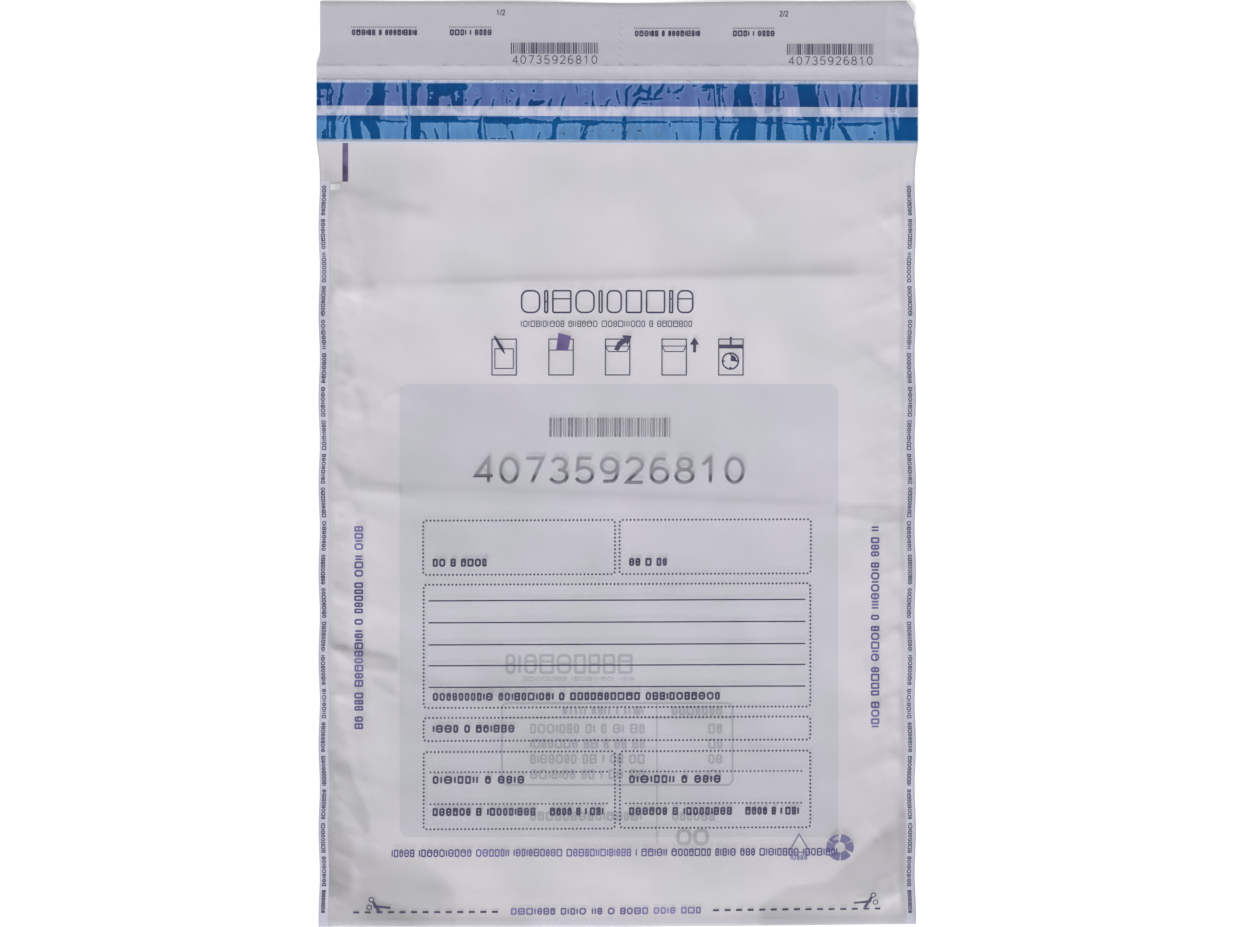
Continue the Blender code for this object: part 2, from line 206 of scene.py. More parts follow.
# Painted shade of the film, standing in for the shading where it sags, creases or folds over;
# entries below zero paint it lighter again. Levels of screen tone, the softness of the edge, then a
# stroke through points of (across, down, half its width) in millimetres
PAINTED_SHADES = (
    (6, 2, ((321, -3, 8), (321, 31, 8))),
    (9, 1.2, ((-4, 40.7, 1.5), (110, 40.9, 1.4), (200, 40.5, 1.5), (334, 41.2, 1.4))),
    (10, 22, ((-30, 424, 48), (90, 422, 48), (230, 438, 40), (360, 442, 36))),
    (14, 9, ((-20, 508, 28), (60, 506, 21), (160, 502, 14), (240, 506, 10), (350, 512, 6))),
    (11, 3, ((6, 95, 3), (6, 480, 3))),
    (4, 6, ((2, 80, 12), (6, 240, 12), (2, 400, 10))),
    (10, 6, ((26, 114, 7), (27, 134, 8), (32, 154, 8))),
    (6, 3, ((14, 290, 4), (14, 350, 4))),
    (5, 8, ((0, 98, 12), (60, 90, 8))),
    (5, 6, ((236, 88, 8), (262, 84, 6))),
    (6, 25, ((-20, 235, 40), (80, 235, 40))),
    (4, 14, ((-20, 305, 22), (270, 305, 18))),
    (5, 12, ((-10, 352, 8), (110, 352, 8))),
    (5, 8, ((0, 90, 6), (5, 130, 14), (3, 160, 8))),
    (12, 4, ((8, 105, 2), (24, 109, 5), (46, 112, 4), (60, 114, 2))),
    (8, 6, ((14, 116, 6), (16, 136, 5))),
    (5, 5, ((40, 114, 5), (42, 150, 4))),
    (14, 2.5, ((9, 157.5, 1.5), (17, 156, 3), (30, 154.5, 2))),
    (9, 3.5, ((40, 156, 2), (110, 152.5, 3), (180, 151, 3.5), (240, 149, 4), (290, 147, 4))),
    (5, 3, ((276, 146, 7), (322, 146, 10))),
    (6, 1.5, ((10, 196.5, 0.6), (16, 194.5, 0.9), (21, 197, 0.6))),
    (10, 1.2, ((8, 210, 0.8), (14, 209, 1.4), (18, 206.5, 0.8))),
    (5, 2, ((17, 199, 1.5), (16, 207, 1.5))),
    (9, 2, ((21.5, 213, 0.8), (23.5, 219, 1.8), (27, 228, 1.6))),
    (7, 1, ((33, 219.5, 0.5), (39, 215, 0.9), (45, 211.5, 0.6))),
    (8, 2, ((7, 215, 1), (8, 222, 1.5), (6.5, 232, 1))),
    (11, 1, ((12, 254.5, 0.6), (16, 259, 3), (20, 262.8, 4.2), (30, 265, 3), (44.5, 266, 2.6))),
    (9, 3, ((46, 268, 3), (120, 270.5, 4), (180, 272.5, 4), (240, 275, 4), (283, 278, 3.5))),
    (9, 1.5, ((7, 272, 0.6), (17, 271.5, 0.8))),
    (9, 2, ((13, 281, 1), (21, 279, 1.6), (25, 274, 1.2))),
    (14, 3, ((4, 342, 2), (8, 350, 3), (14, 353, 2))),
    (8, 4, ((46, 368, 3), (80, 378, 4), (100, 378, 3))),
    (8, 1.5, ((8, 366, 0.7), (20, 367.5, 0.7))),
    (14, 1.2, ((8, 378, 0.9), (22, 377.6, 0.9))),
    (8, 3, ((7, 388, 1.5), (12, 400, 2.5), (14, 408, 2.5))),
    (
        16,
        1.5,
        ((8, 412, 3), (12, 420, 6.5), (14, 429, 6.8), (20, 437, 5), (24.6, 446, 3.8), (27, 453, 1.6)),
    ),
    (14, 3, ((8, 438, 4), (9, 452, 4.5), (11, 462, 8), (9, 480, 10))),
    (12, 8, ((6, 468, 14), (40, 478, 8), (66, 484, 6))),
    (13, 7, ((2, 482, 10), (14, 500, 15), (50, 512, 12))),
    (5, 8, ((100, 372, 10), (220, 384, 10), (320, 390, 6))),
    (4, 8, ((230, 350, 9), (290, 350, 9))),
    (2, 4, ((288, 184, 1.5), (298, 193, 4.5), (308, 200, 4.5), (319, 206, 2))),
    (13, 1, ((286, 278, 3), (300, 279.6, 4.4), (312, 280, 4.9), (323, 280.4, 5.2))),
    (6, 4, ((298, 290, 5), (322, 291, 6))),
    (6, 5, ((286, 256, 2.5), (299, 256, 2.5))),
    (5, 1.5, ((312, 311, 1), (320, 307, 1.3))),
    (5, 2, ((309, 318, 1.6), (316, 322, 2.6))),
    (6, 2, ((312, 341, 0.8), (321, 345, 1.2))),
    (5, 2, ((300, 360, 2.6), (309, 372, 2.6))),
    (7, 2, ((304, 384, 1.2), (318, 384, 2.2))),
    (5, 2, ((316, 404, 1.6), (320, 416, 1.6))),
    (5, 6, ((285, 500, 14), (240, 504, 12))),
    (-12, 2.5, ((308, 497, 2.6), (321, 485.5, 3.4))),
    (8, 3, ((316, 504, 3), (322, 500, 2))),
    (12, 6, ((14, 486, 7), (30, 494, 7), (50, 500, 6), (110, 507, 8))),
    (-5, 6, ((30, 384, 5), (33, 400, 7), (34, 426, 6))),
)
# Painted shade on facets of folded film: levels, then corners clockwise, each with the softness of
# the edge after it, also in millimetres
PAINTED_FACET_SHADES = (
    (
        22,
        (
            (7, 350.6, 0.8),
            (24, 352.8, 1.5),
            (44, 358.5, 2),
            (44, 366.5, 1.5),
            (26, 365, 1.2),
            (8, 354, 0.8),
        ),
    ),
    (7, ((28, 367, 1.5), (42, 373, 1.5), (44.5, 381, 1.5), (33, 379, 1.5))),
    (7, ((24, 464, 5), (57, 468.5, 2), (76, 487, 1.5), (76, 508, 3), (24, 508, 5))),
    (15, ((242, 495, 3), (256, 484, 1.2), (328, 473.8, 1), (328, 508, 1), (242, 508, 2))),
    (15, ((279, 480.7, 1.8), (320, 442.5, 1), (328, 442.5, 1), (328, 473.8, 1.2))),
    (8, ((303, 455.5, 1), (318, 442.5, 1.5), (321, 456, 3), (305, 461, 1.5))),
)
# Depth and strength of the painted shade on the film
PAINTED_SHADE_LIMIT = 60  # deepest shade, in levels
PAINTED_SHADE_GAIN = 1.15  # what lies behind the film lightens its tone
FILM_TONE = 215  # tone of the film without shade

# Grid of the panels and the flap
SIDE_STEPS = 26
SIDE_ZONE = 0.040
MIDDLE_STEPS = 104
WELD_STEPS = 3
WELD_GAP = 0.00002
WELD_TINT_TOP = 97.0  # the welds are tinted from here down, in millimetres
FRONT_STEP = 0.0015
BACK_STEP = 0.0035
FOLD_TURNS = (45, 90, 135, 180)
FLAP_LOW_ROWS = 18
FLAP_ROW_GAP = 0.001
FLAP_END = 0.010
FLAP_END_STEPS = 8
LINER_STEP = 1.2  # millimetres
LINER_ROUGHNESS = 0.14
LINER_ALPHA = 0.08
LINER_CLOUDS = 60.0
LINER_DENTS = 220.0
LINER_DENT_STRENGTH = 0.25
LINER_DENT_DEPTH = 0.0003
BLISTER_RISE = 0.00018
BLISTER_PITCHES = (0.004, 0.018)

# Bars of uneven width, in units that are scaled to fit, and places of the large number
BAR_WIDTHS = (0.6, 0.6, 1.2, 1.8)
BAR_GAPS = (0.7, 1.0, 1.5)
BARCODE_RUN = 100
BARCODE_TOP = 227.6
NUMBER_TOP = 249.7
NUMBER_BOTTOM = 262.9

# Type, as open shapes of uneven width, in parts of their usual width and height
WORD_SPACE = 0.6
TYPE_WIDTHS = (0.4, 0.85, 0.95, 1.0, 1.15)
TYPE_GAP = 0.18
TYPE_CORNERS = (0.08, 0.36)
CROSSBAR_SHARE = 0.5
CROSSBAR_LEVELS = (0.5, 0.5, 0.62)
CROSSBAR_WEIGHT = 0.8

# Type along the welds, in millimetres on the sheet
EDGE_TYPE_START = 100.6
EDGE_TYPE_END = 498.6
EDGE_TYPE_WORD = 16.6
EDGE_TYPE_PITCH = 18.35
EDGE_TYPE_COUNT = 22
EDGE_TYPE_INSETS = (1.3, 2.0)
EDGE_TYPE_WEIGHTS = (0.2, 0.18)
EDGE_TYPE_HEIGHT = 2.2

# Frames, lines and bars, in millimetres on the sheet
PRINT_TILT = 0.004  # the form sits a little askew on the sheet
RECEIPT_PITCH = 154.8
FRAMES = (
    (57.7, 283.4, 162.5, 313.0),
    (165.0, 283.4, 269.5, 313.0),
    (58.0, 318.4, 269.2, 385.7),
    (58.0, 391.2, 269.2, 403.8),
    (58.0, 409.8, 162.5, 452.0),
    (165.2, 409.8, 269.2, 451.7),
)
RULES = (327.2, 339.2, 351.3, 362.7, 374.5)
RULE_WEIGHT = 0.7
DOT_PITCH = 2.11
DOT = 0.61
DASH = 3.3
DASH_PITCH = 6.32
VIOLET_BAR = (13.5, 77.4, 16.5, 98.5)
PALE_PATCH = (6.9, 99.7, 12.6, 103.0)

# Closing zone, in millimetres on the sheet
TAPE_BANDS = (12.6, 5.3, 13.0)
# Where the liner clings to the tape and shows it dark: strokes on the sheet, each through points
# of (across, down, half its width) in millimetres
CLINGS = (
    ((0.4, 45.8, 2.4), (4.2, 45.8, 2)),
    ((0.6, 48.6, 0.9), (0.8, 52, 1.2), (3.4, 51.6, 0.6)),
    ((0.6, 54, 1.1), (0.8, 58, 1.2)),
    ((6.6, 44.6, 0.8), (5.4, 48.4, 0.5), (5, 51, 0.4), (5.5, 58, 0.4)),
    ((6.8, 46, 0.5), (8.5, 49.2, 0.6), (6.9, 51.5, 0.8), (7, 58, 0.9)),
    ((14, 44, 0.8), (12.7, 49.2, 0.7), (12.9, 52, 0.9), (11.2, 58, 1.2)),
    ((10.2, 52, 0.4),),
    ((27.3, 48.8, 0.6),),
    ((33.6, 44, 3.6), (33.2, 48, 3.1), (33.7, 51, 3.4), (32.7, 54, 4), (31.2, 58.4, 5.2)),
    ((37.4, 48.7, 0.3), (39, 49.1, 0.2)),
    ((43, 44, 0.5), (43.8, 49.2, 0.4)),
    ((41.9, 56.4, 0.5),),
    ((47.3, 44, 1.4), (47.7, 58.4, 1.1)),
    ((53.4, 44, 2.8), (52.7, 48.4, 1.7), (52.4, 58.4, 1.7)),
    ((54, 45.4, 1.6), (55.8, 45.6, 0.9)),
    ((61.6, 46.8, 2.1), (79.8, 46.6, 2.2)),
    ((62.6, 49.6, 2.8), (63, 52, 3), (62.9, 58.4, 3.5)),
    ((66, 50.4, 1.8), (73.6, 49.4, 1.6)),
    ((73.6, 50.6, 1.4), (74.8, 58.2, 1.1)),
    ((78.2, 50, 1.6), (77.4, 58.2, 2.1)),
    ((71.6, 56.8, 1),),
    ((80.9, 53.8, 0.8),),
    ((86.3, 48.6, 0.6),),
    ((89.4, 52.6, 0.4), (87.2, 54.4, 1), (85.3, 57.6, 0.7)),
    ((96.4, 53.4, 0.4), (95.3, 57.6, 0.8)),
    ((98.2, 54.5, 0.4),),
    ((101.5, 48.6, 0.3),),
    ((105.4, 48.4, 0.4), (106.6, 48.8, 0.5)),
    ((103.2, 51.6, 0.2), (103.4, 55.4, 0.2)),
    ((105.2, 54.4, 0.5),),
    ((110.1, 52.6, 0.4), (109.3, 55, 0.9), (109, 58, 0.9)),
    ((118.1, 48.8, 0.6),),
    ((121.5, 49.6, 0.4),),
    ((112, 51.6, 0.3),),
    ((116.9, 53.4, 0.6), (116.4, 56, 1.4), (120.6, 55.6, 1.4), (124, 54.2, 0.6)),
    ((127.9, 53, 0.3), (126.8, 55.6, 0.8), (126.5, 58, 0.9)),
    ((135.2, 51.8, 0.3), (133.9, 55, 0.7), (133.1, 58.4, 0.8)),
    ((141.4, 46, 0.2), (142.3, 51, 0.2)),
    ((146.5, 49.3, 0.6),),
    ((150.3, 46, 0.2), (150.4, 53, 0.2), (150.6, 57.6, 0.9)),
    ((146.2, 55.4, 0.4), (147.8, 55.6, 0.4)),
    ((160.2, 53.4, 0.5), (158.4, 54.5, 0.7), (157.3, 58, 0.7)),
    ((154.6, 57.2, 0.5), (157, 56.8, 0.4)),
    ((162.8, 57.2, 0.5),),
    ((163.4, 48.5, 0.4), (163.9, 52, 0.5), (165, 55.6, 0.4)),
    ((171.2, 46.2, 0.4), (169.2, 48, 0.8), (168.7, 52, 0.9), (168.7, 58, 0.6)),
    ((176.6, 46.4, 0.9), (175.4, 49.6, 1.2), (172.8, 51.4, 0.6)),
    ((176.8, 48.2, 0.9), (181.6, 50, 0.9)),
    ((181.8, 46.2, 0.6), (181.2, 50, 1), (180.4, 52.5, 0.7)),
    ((189.1, 45.2, 0.6), (187.4, 48.6, 1.1), (184.8, 50.8, 1.2), (184.2, 53, 0.6)),
    ((176, 53, 1), (181, 53.3, 0.8), (188.6, 53.1, 0.4)),
    ((176, 52.4, 0.9), (174, 54.8, 1.1), (172.6, 57, 0.9)),
    ((177.2, 55.7, 0.3), (182.5, 55.9, 0.3)),
    ((191.9, 46.8, 0.5), (191.9, 49.2, 0.9)),
    ((199.8, 46.2, 0.5), (198.8, 48, 0.9), (196, 49.4, 0.9), (194, 49.8, 0.4)),
    ((193.7, 52.8, 0.5),),
    ((196.2, 52.9, 0.4), (197.6, 52.8, 0.4)),
    ((205.3, 46, 0.5), (207, 45.7, 0.2)),
    ((208, 53.2, 0.3), (208.5, 55, 0.5), (208.6, 58.4, 0.6)),
    ((209.8, 46.8, 0.5), (212, 46.4, 1), (216, 46.4, 1.3)),
    ((210, 48.8, 0.4), (212.8, 48.5, 0.6)),
    ((214.4, 47, 0.5), (214.2, 51, 0.3), (213.8, 54, 0.4)),
    ((216.6, 46, 0.5), (216.8, 51, 0.4), (217.7, 58.2, 0.6)),
    ((218.6, 44.8, 0.7), (218.4, 50.6, 0.4)),
    ((219.9, 45.4, 0.5), (219.4, 52, 0.5), (219.9, 58.2, 0.7)),
    ((221.5, 44.6, 0.4), (221.2, 52, 0.3), (222, 55, 0.4), (222.6, 58.2, 0.6)),
    ((222.6, 46.9, 0.5), (225.2, 46.5, 0.3)),
    ((233.3, 44.6, 3.2), (231.8, 49.5, 4.1), (232.3, 53, 4.7), (232.6, 59, 5.8)),
    ((239.3, 49.8, 0.4),),
    ((240.4, 54, 0.3), (239.5, 56.4, 0.3)),
    ((247.4, 44.8, 2.4), (247.1, 50, 2.1), (246.9, 59, 2.3)),
    ((251.6, 44.8, 1.5), (251.2, 52, 0.9), (251.6, 59, 1.4)),
    ((247.6, 57.6, 1), (252, 57.8, 1)),
    ((254.6, 49.2, 0.5), (254.8, 52.4, 0.3), (252.6, 53.2, 0.4)),
    ((260.4, 46, 0.5), (264, 46, 0.9)),
    ((267.4, 44.8, 5.2), (267.6, 50, 5.1), (268.6, 54, 5.3), (269.2, 60, 5.5)),
    ((274.1, 45.8, 0.7), (273.7, 50.8, 0.4)),
    ((277.3, 49.6, 0.5), (278.2, 53, 0.5), (279.3, 57, 0.5)),
    ((285.1, 50.2, 0.3), (285.2, 54, 0.8), (285, 59, 0.9)),
    ((288.3, 47.3, 0.5),),
    ((293.2, 45, 1), (293.7, 48.5, 0.9), (293, 52, 0.8), (292.1, 58.6, 0.9)),
    ((297.7, 45.2, 0.5), (296.3, 49, 0.5), (296.4, 53, 0.5), (297.7, 58.8, 0.5)),
    ((305.7, 52.6, 0.6),),
    ((315, 44.6, 1.7), (314.8, 50, 1.5), (314.6, 58.8, 1.8)),
    ((320, 44.6, 2.3), (319.7, 50, 2.2), (319.4, 59, 2.7)),
    ((325.8, 44.8, 2.4), (326, 59.6, 2.7)),
    ((5.6, 62, 1), (5.4, 76, 0.7)),
    ((8.2, 62.4, 2.2), (8.5, 66, 1.3), (8.4, 76, 1.3)),
    ((3.6, 70.8, 1), (3.6, 74.6, 1.5)),
    ((5.6, 74.8, 0.8), (9.4, 74.8, 0.8)),
    ((12.8, 62, 0.5), (11, 65, 0.4), (14, 65.6, 0.2)),
    ((15.7, 62, 0.8), (14.2, 64.4, 0.4)),
    ((16.5, 64.2, 0.4), (15.2, 68, 0.7), (14.7, 76, 0.9)),
    ((20.4, 64.4, 3), (20.6, 68, 2.7), (21.8, 76, 2.9)),
    ((19.4, 63.4, 1.9), (32.4, 63.6, 1.9)),
    ((27.6, 65, 3.2), (29.6, 68, 3), (31.2, 71, 2.8), (31.6, 76, 2.4)),
    ((33, 65.3, 0.8), (36, 65, 0.6), (40, 65.5, 0.6), (49, 65.6, 0.5)),
    ((48.2, 62.4, 0.7), (49.2, 64.2, 0.3)),
    ((49.5, 66.2, 0.4), (48, 69.2, 0.5), (47.6, 76, 0.9)),
    ((53.8, 62, 3.2), (53.6, 67, 2.6), (53.6, 76, 2.6)),
    ((57, 64, 1.9), (74.8, 63.8, 1.9)),
    ((57, 65.3, 0.9), (88, 65.3, 0.8)),
    ((57.2, 71, 0.4), (58.6, 72.6, 0.7), (59.4, 75.4, 0.7)),
    ((63.8, 69, 0.3), (65, 73, 0.8), (65.4, 75, 0.7)),
    ((71.3, 66, 0.4), (71.2, 70, 0.4), (71.4, 75.8, 0.7)),
    ((77.4, 62.6, 0.5),),
    ((89.6, 62, 0.5), (88.6, 67, 0.8), (88.4, 71, 1.1), (89.3, 76, 0.9)),
    ((90.7, 62.6, 0.5), (90.9, 67, 0.5), (92.2, 76, 0.8)),
    ((92, 64, 1.2), (109, 64.4, 1.4)),
    ((91.6, 65.6, 1), (109, 65.9, 1.1)),
    ((103.3, 67.4, 0.4), (103.9, 70, 0.3)),
    ((106, 71, 0.5), (106.8, 75.4, 0.6)),
    ((99.5, 68.2, 0.4),),
    ((95, 74.8, 0.3), (103, 74.9, 0.2)),
    ((110, 65.6, 1.2), (114, 64.9, 1.6), (119, 65.7, 1), (128, 66, 0.7)),
    ((131.5, 63.6, 0.9), (130.2, 66, 2), (129.3, 69, 1.2), (129, 76.2, 1.5)),
    ((131, 65.8, 1.2), (135, 65.8, 0.8), (141, 65.6, 0.9), (150, 65.6, 0.9)),
    ((150, 65.7, 0.9), (158, 65.8, 0.7), (166, 66, 0.6)),
    ((145.4, 66.8, 1.2), (149.6, 66.8, 1.3), (153, 66.6, 0.7)),
    ((146.4, 67.6, 2.1), (144.9, 70.6, 1.2), (144.8, 76.2, 1.3)),
    ((147.2, 71, 0.4), (146.3, 73, 0.5), (146.3, 76, 0.4)),
    ((121.4, 71.5, 0.3), (120.8, 73.5, 0.4), (120.3, 75.8, 0.5)),
    ((124, 75, 0.3), (128, 75, 0.4)),
    ((168, 62.4, 0.8), (167.4, 65, 1.2), (167.4, 76.2, 1.2)),
    ((169, 65.9, 0.6), (186, 65.8, 0.8), (191, 66, 0.4)),
    ((193.4, 65.6, 0.6), (204, 65.7, 0.6), (208, 65.9, 0.3)),
    ((192.3, 66.3, 0.4), (192.6, 68, 0.5)),
    ((196, 71.2, 0.4), (196.4, 75.2, 0.6)),
    ((208.9, 62.4, 0.8), (209.4, 65, 0.8), (209.4, 71, 0.8), (208.9, 75.4, 0.5)),
    ((211.2, 65.7, 0.3), (217, 65.9, 0.5)),
    ((217.8, 62.4, 0.8), (219, 65.6, 1), (218.6, 70, 1.3), (218.7, 76, 1.2)),
    ((220.4, 74.8, 0.7),),
    ((221, 66.1, 0.5), (231, 66.1, 0.6)),
    ((221.8, 62.8, 0.7), (221.6, 64.6, 0.3)),
    ((227.8, 63.4, 0.8),),
    ((235.5, 62.6, 4.6), (235, 66, 5), (234.8, 70, 4.8), (234, 76.6, 5.2)),
    ((229.8, 68.2, 1.1), (227.2, 71.6, 1.1), (226.2, 76.2, 1)),
    ((240.8, 66, 0.6), (246, 66.2, 0.8), (251, 66.4, 0.7)),
    ((247, 63.6, 1.7), (247.2, 67, 1.4), (246.8, 71, 1.1), (246.6, 76.6, 1)),
    ((252.4, 63.4, 1.7), (252.4, 68, 1.6), (252.6, 71, 2), (253.4, 76.6, 3)),
    ((255, 66.4, 0.4), (262, 67, 0.7), (270, 66.9, 1.1), (276, 66.8, 1.3)),
    ((262.5, 64.4, 0.5), (268, 64.4, 0.5)),
    ((269.4, 63.8, 0.9), (272, 63.8, 0.8)),
    ((266.4, 68, 0.8), (266.6, 72, 0.9), (267.6, 76.8, 1.4)),
    ((271.3, 65.8, 1.7), (271.2, 71, 1.7), (271, 76.8, 1.7)),
    ((275.4, 63.8, 1.4), (276, 67, 1.2)),
    ((279.5, 63.6, 1.2), (279.8, 67, 1.2), (278.6, 71, 1.6), (278, 77, 1.9)),
    ((275, 69.4, 0.7), (275.4, 72, 0.4)),
    ((282.4, 64.2, 0.8), (282, 67, 0.5), (281.8, 69.6, 0.4)),
    ((285.2, 64, 1.1),),
    ((284.8, 66.9, 0.7), (290, 67.1, 0.9), (296, 67.1, 0.9), (301, 66.6, 0.6)),
    ((301, 66.6, 0.6), (305, 67, 0.9), (309, 66.3, 0.4)),
    ((284.8, 67, 0.8), (288, 71, 1.3), (291.2, 76.6, 1.6)),
    ((304.3, 71.6, 0.6),),
    ((301, 75.2, 0.3), (303.5, 75, 0.5)),
    ((311, 62.6, 0.9), (311.3, 68, 0.7), (311.8, 76.4, 0.8)),
    ((315.2, 62.8, 1.2), (315.6, 67, 1), (317, 72, 1.8), (317.6, 76.8, 2.4)),
    ((322.8, 63.6, 5), (322.8, 69, 5.2), (321.8, 72, 6.2), (321.8, 77, 6.6)),
)
# Painted highlights on the tape where raised folds of the liner catch the light, as strokes of the
# same kind
PAINTED_GLINTS = (
    ((49.7, 42, 0.5), (49.6, 50, 0.4), (49.8, 64, 0.4), (49.9, 72, 0.3)),
    ((317.4, 44.6, 0.3), (317.2, 49.5, 0.4), (316.4, 54, 0.4), (316.1, 58, 0.4)),
    ((316.4, 62.6, 0.5), (316.8, 67, 0.5), (317.5, 69.4, 0.3)),
    ((322.2, 45, 0.4), (322.8, 50, 0.3), (323, 58, 0.4)),
    ((250, 46.8, 0.4), (250, 50, 0.3), (250.1, 56, 0.3)),
    ((272.6, 46, 0.4), (272.6, 51, 0.3)),
    ((261.9, 46.6, 0.4), (261.6, 50, 0.3)),
    ((278.4, 67.4, 0.5), (276.6, 71, 0.4), (275.8, 76, 0.5)),
    ((277.9, 64, 0.5), (277.8, 66, 0.3)),
    ((268, 68.2, 0.8), (268.6, 72, 0.5), (269.4, 76, 0.3)),
    ((273.7, 68, 0.4), (273.6, 76, 0.6)),
    ((84.2, 44.8, 0.5), (82.2, 48.4, 0.5), (80.8, 51.6, 0.4)),
    ((90.2, 62.4, 0.3), (90, 67, 0.3), (90.8, 71, 0.3), (91.2, 76, 0.2)),
    ((127.7, 67.6, 0.3), (127.3, 72, 0.4), (126.4, 74.4, 0.4)),
    ((131.6, 68, 0.5), (130.9, 70, 0.4), (131, 75, 0.4)),
    ((143.2, 68, 0.3), (142.5, 72, 0.5), (141.2, 74.2, 0.5)),
    ((16.8, 65, 0.4), (17, 69, 0.6), (18, 74.6, 0.7)),
    ((37.5, 45.6, 0.5), (37.8, 47.9, 0.4)),
    ((183.6, 46.8, 0.5), (183.4, 50, 0.5), (182.6, 52.2, 0.4)),
    ((178.2, 51.6, 0.8),),
    ((61.8, 50, 0.6), (63.2, 49.8, 0.4)),
    ((75.1, 50.2, 0.5), (77, 52, 0.5)),
    ((61.6, 52.6, 0.6),),
    ((6.4, 66, 0.3), (6.5, 69.4, 0.3)),
    ((192.4, 48, 0.4), (193.6, 47.6, 0.3)),
    ((306.4, 53.4, 0.2), (307.8, 52.6, 0.2)),
    ((230.2, 53.8, 0.2), (231, 56.6, 0.2)),
)
CLING_WOBBLE = 0.16
WOBBLE_PITCHES = ((1.2, 3.0), (3.0, 8.0))
CLING_RANGE = 3.0
TAPE_STEP = 0.36
TAPE_CARRIER = 1.6  # clear edge of the tape above its blue print
TAPE_RIM = 0.35
TAPE_SOFT = 0.12
TAPE_FOOT = 0.4  # clear edge below the print
TAPE_FADE = (2.4, 3.0)  # the lower band changes its tone so far below the stripe
TAPE_STREAKS = 170.0
TAPE_GRAIN = 700.0
TAPE_ROUGHNESS = 0.35
TAPE_SHINE = 0.1
STREAK_STRENGTH = 0.2
STREAK_DEPTH = 0.0002
# Stops of the pale halo round a cling, of the cling and of a painted highlight, where 0.5 is its
# outline
HALO_STOPS = (0.20, 0.47, 0.50)
CLING_STOPS = (0.485, 0.515)
PAINTED_GLINT_STOPS = (0.46, 0.55)
NUMBER_STRIP = (132, 188, 68, 73.6)

# Floor, light and camera; the object's edges are pixels of the photo
FLOOR_SIZE = 4.0
FLOOR_LEVEL = -0.0003
FLOOR_COLOR = (0.8, 0.8, 0.8, 1.0)
FLOOR_GLOW = (0.3, 0.3, 0.3, 1.0)
WORLD = 0.45
SUN = 2.75
SUN_ELEVATION = 38
SUN_AZIMUTH = -110
SUN_ANGLE = 25
PHOTO_WIDTH = 1236
PHOTO_HEIGHT = 927
OBJECT_LEFT = 316.6
OBJECT_RIGHT = 917.8
OBJECT_TOP = 1.4
OBJECT_BOTTOM = 927.0
CAMERA_HEIGHT = 1.5
SENSOR = 36.0


def smooth(value):
    """0 to 1 with level ends."""
    value = np.clip(value, 0.0, 1.0)
    return value * value * (3 - 2 * value)


def bell(value):
    """1 at zero, falling off on both sides."""
    return np.exp(-value * value)


def half_width(y):
    below = smooth((MOUTH - y) / DRAW_LENGTH)
    wave = EDGE_WAVE * np.sin(2 * math.pi * y / EDGE_WAVE_PITCH)
    return WIDTH / 2 - below * (DRAW_IN + wave)


def left_edge(y):
    return RECEIPT_SET_IN * smooth((y - PERFORATION) / RECEIPT_SET_RUN) - half_width(y)


def right_edge(y):
    return half_width(y) - np.interp(TOP - y, CHIP_DOWN, CHIP_DEPTH)


def edge_shift(x, y):
    """How far the skewed fold, the sagging top edge and the sloping tape move a point up."""
    skew = BOTTOM_SKEW * np.maximum(x, 0) / (WIDTH / 2)
    dip = TOP_DIP * bell((x - TOP_DIP_PLACE) / TOP_DIP_RUN)
    droop = TAPE_DROOP * (x / WIDTH + 0.5)
    low = smooth(1 - (y - FOLD) / BOTTOM_SKEW_RUN)
    high = smooth((y - PERFORATION) / RECEIPT_HEIGHT)
    above_foot = smooth((y - LINER_LOW.y + DROOP_FOOT) / DROOP_RUN)
    at_tape = above_foot * smooth((PERFORATION - y) / DROOP_END_RUN)
    return skew * low - dip * high - droop * at_tape


def fold_ridge(x, bottom):
    """Ridges left by the storage folds."""
    rise = 0.0
    for left_height, right_height in STORAGE_FOLDS:
        above = bottom - (left_height + (right_height - left_height) * (x / WIDTH + 0.5))
        run = np.where(above > 0, FOLD_RUN_ABOVE, FOLD_RUN_BELOW)
        rise = rise + FOLD_RISE * np.exp(-np.abs(above) / run)
    return rise


def puckers(inside, bottom, heights):
    """Puckers that run in from one weld, where inside is the distance from it."""
    reach = PUCKER_RISE * smooth(inside / PUCKER_RUN) * np.exp(-inside / PUCKER_REACH)
    droop = PUCKER_SLANT * inside
    return reach * sum(bell((bottom - height + droop) / PUCKER_RUN) for height in heights)


def sheet_x(across):
    return FILM_LOW.x + (READING_LEFT + across * READING_SCALE) * MM


def sheet_y(down):
    return TOP - (READING_TOP + down * READING_SCALE) * MM


def across_at(x):
    return ((x - FILM_LOW.x) / MM - READING_LEFT) / READING_SCALE


def down_at(y):
    return ((TOP - y) / MM - READING_TOP) / READING_SCALE


def off_line(x, y, start, end):
    """Share of the way along a straight line, and how far each point is from it both ways."""
    run_x, run_y = end[0] - start[0], end[1] - start[1]
    length = max(run_x**2 + run_y**2, TINY)
    along = np.clip(((x - start[0]) * run_x + (y - start[1]) * run_y) / length, 0, 1)
    return along, x - start[0] - along * run_x, y - start[1] - along * run_y


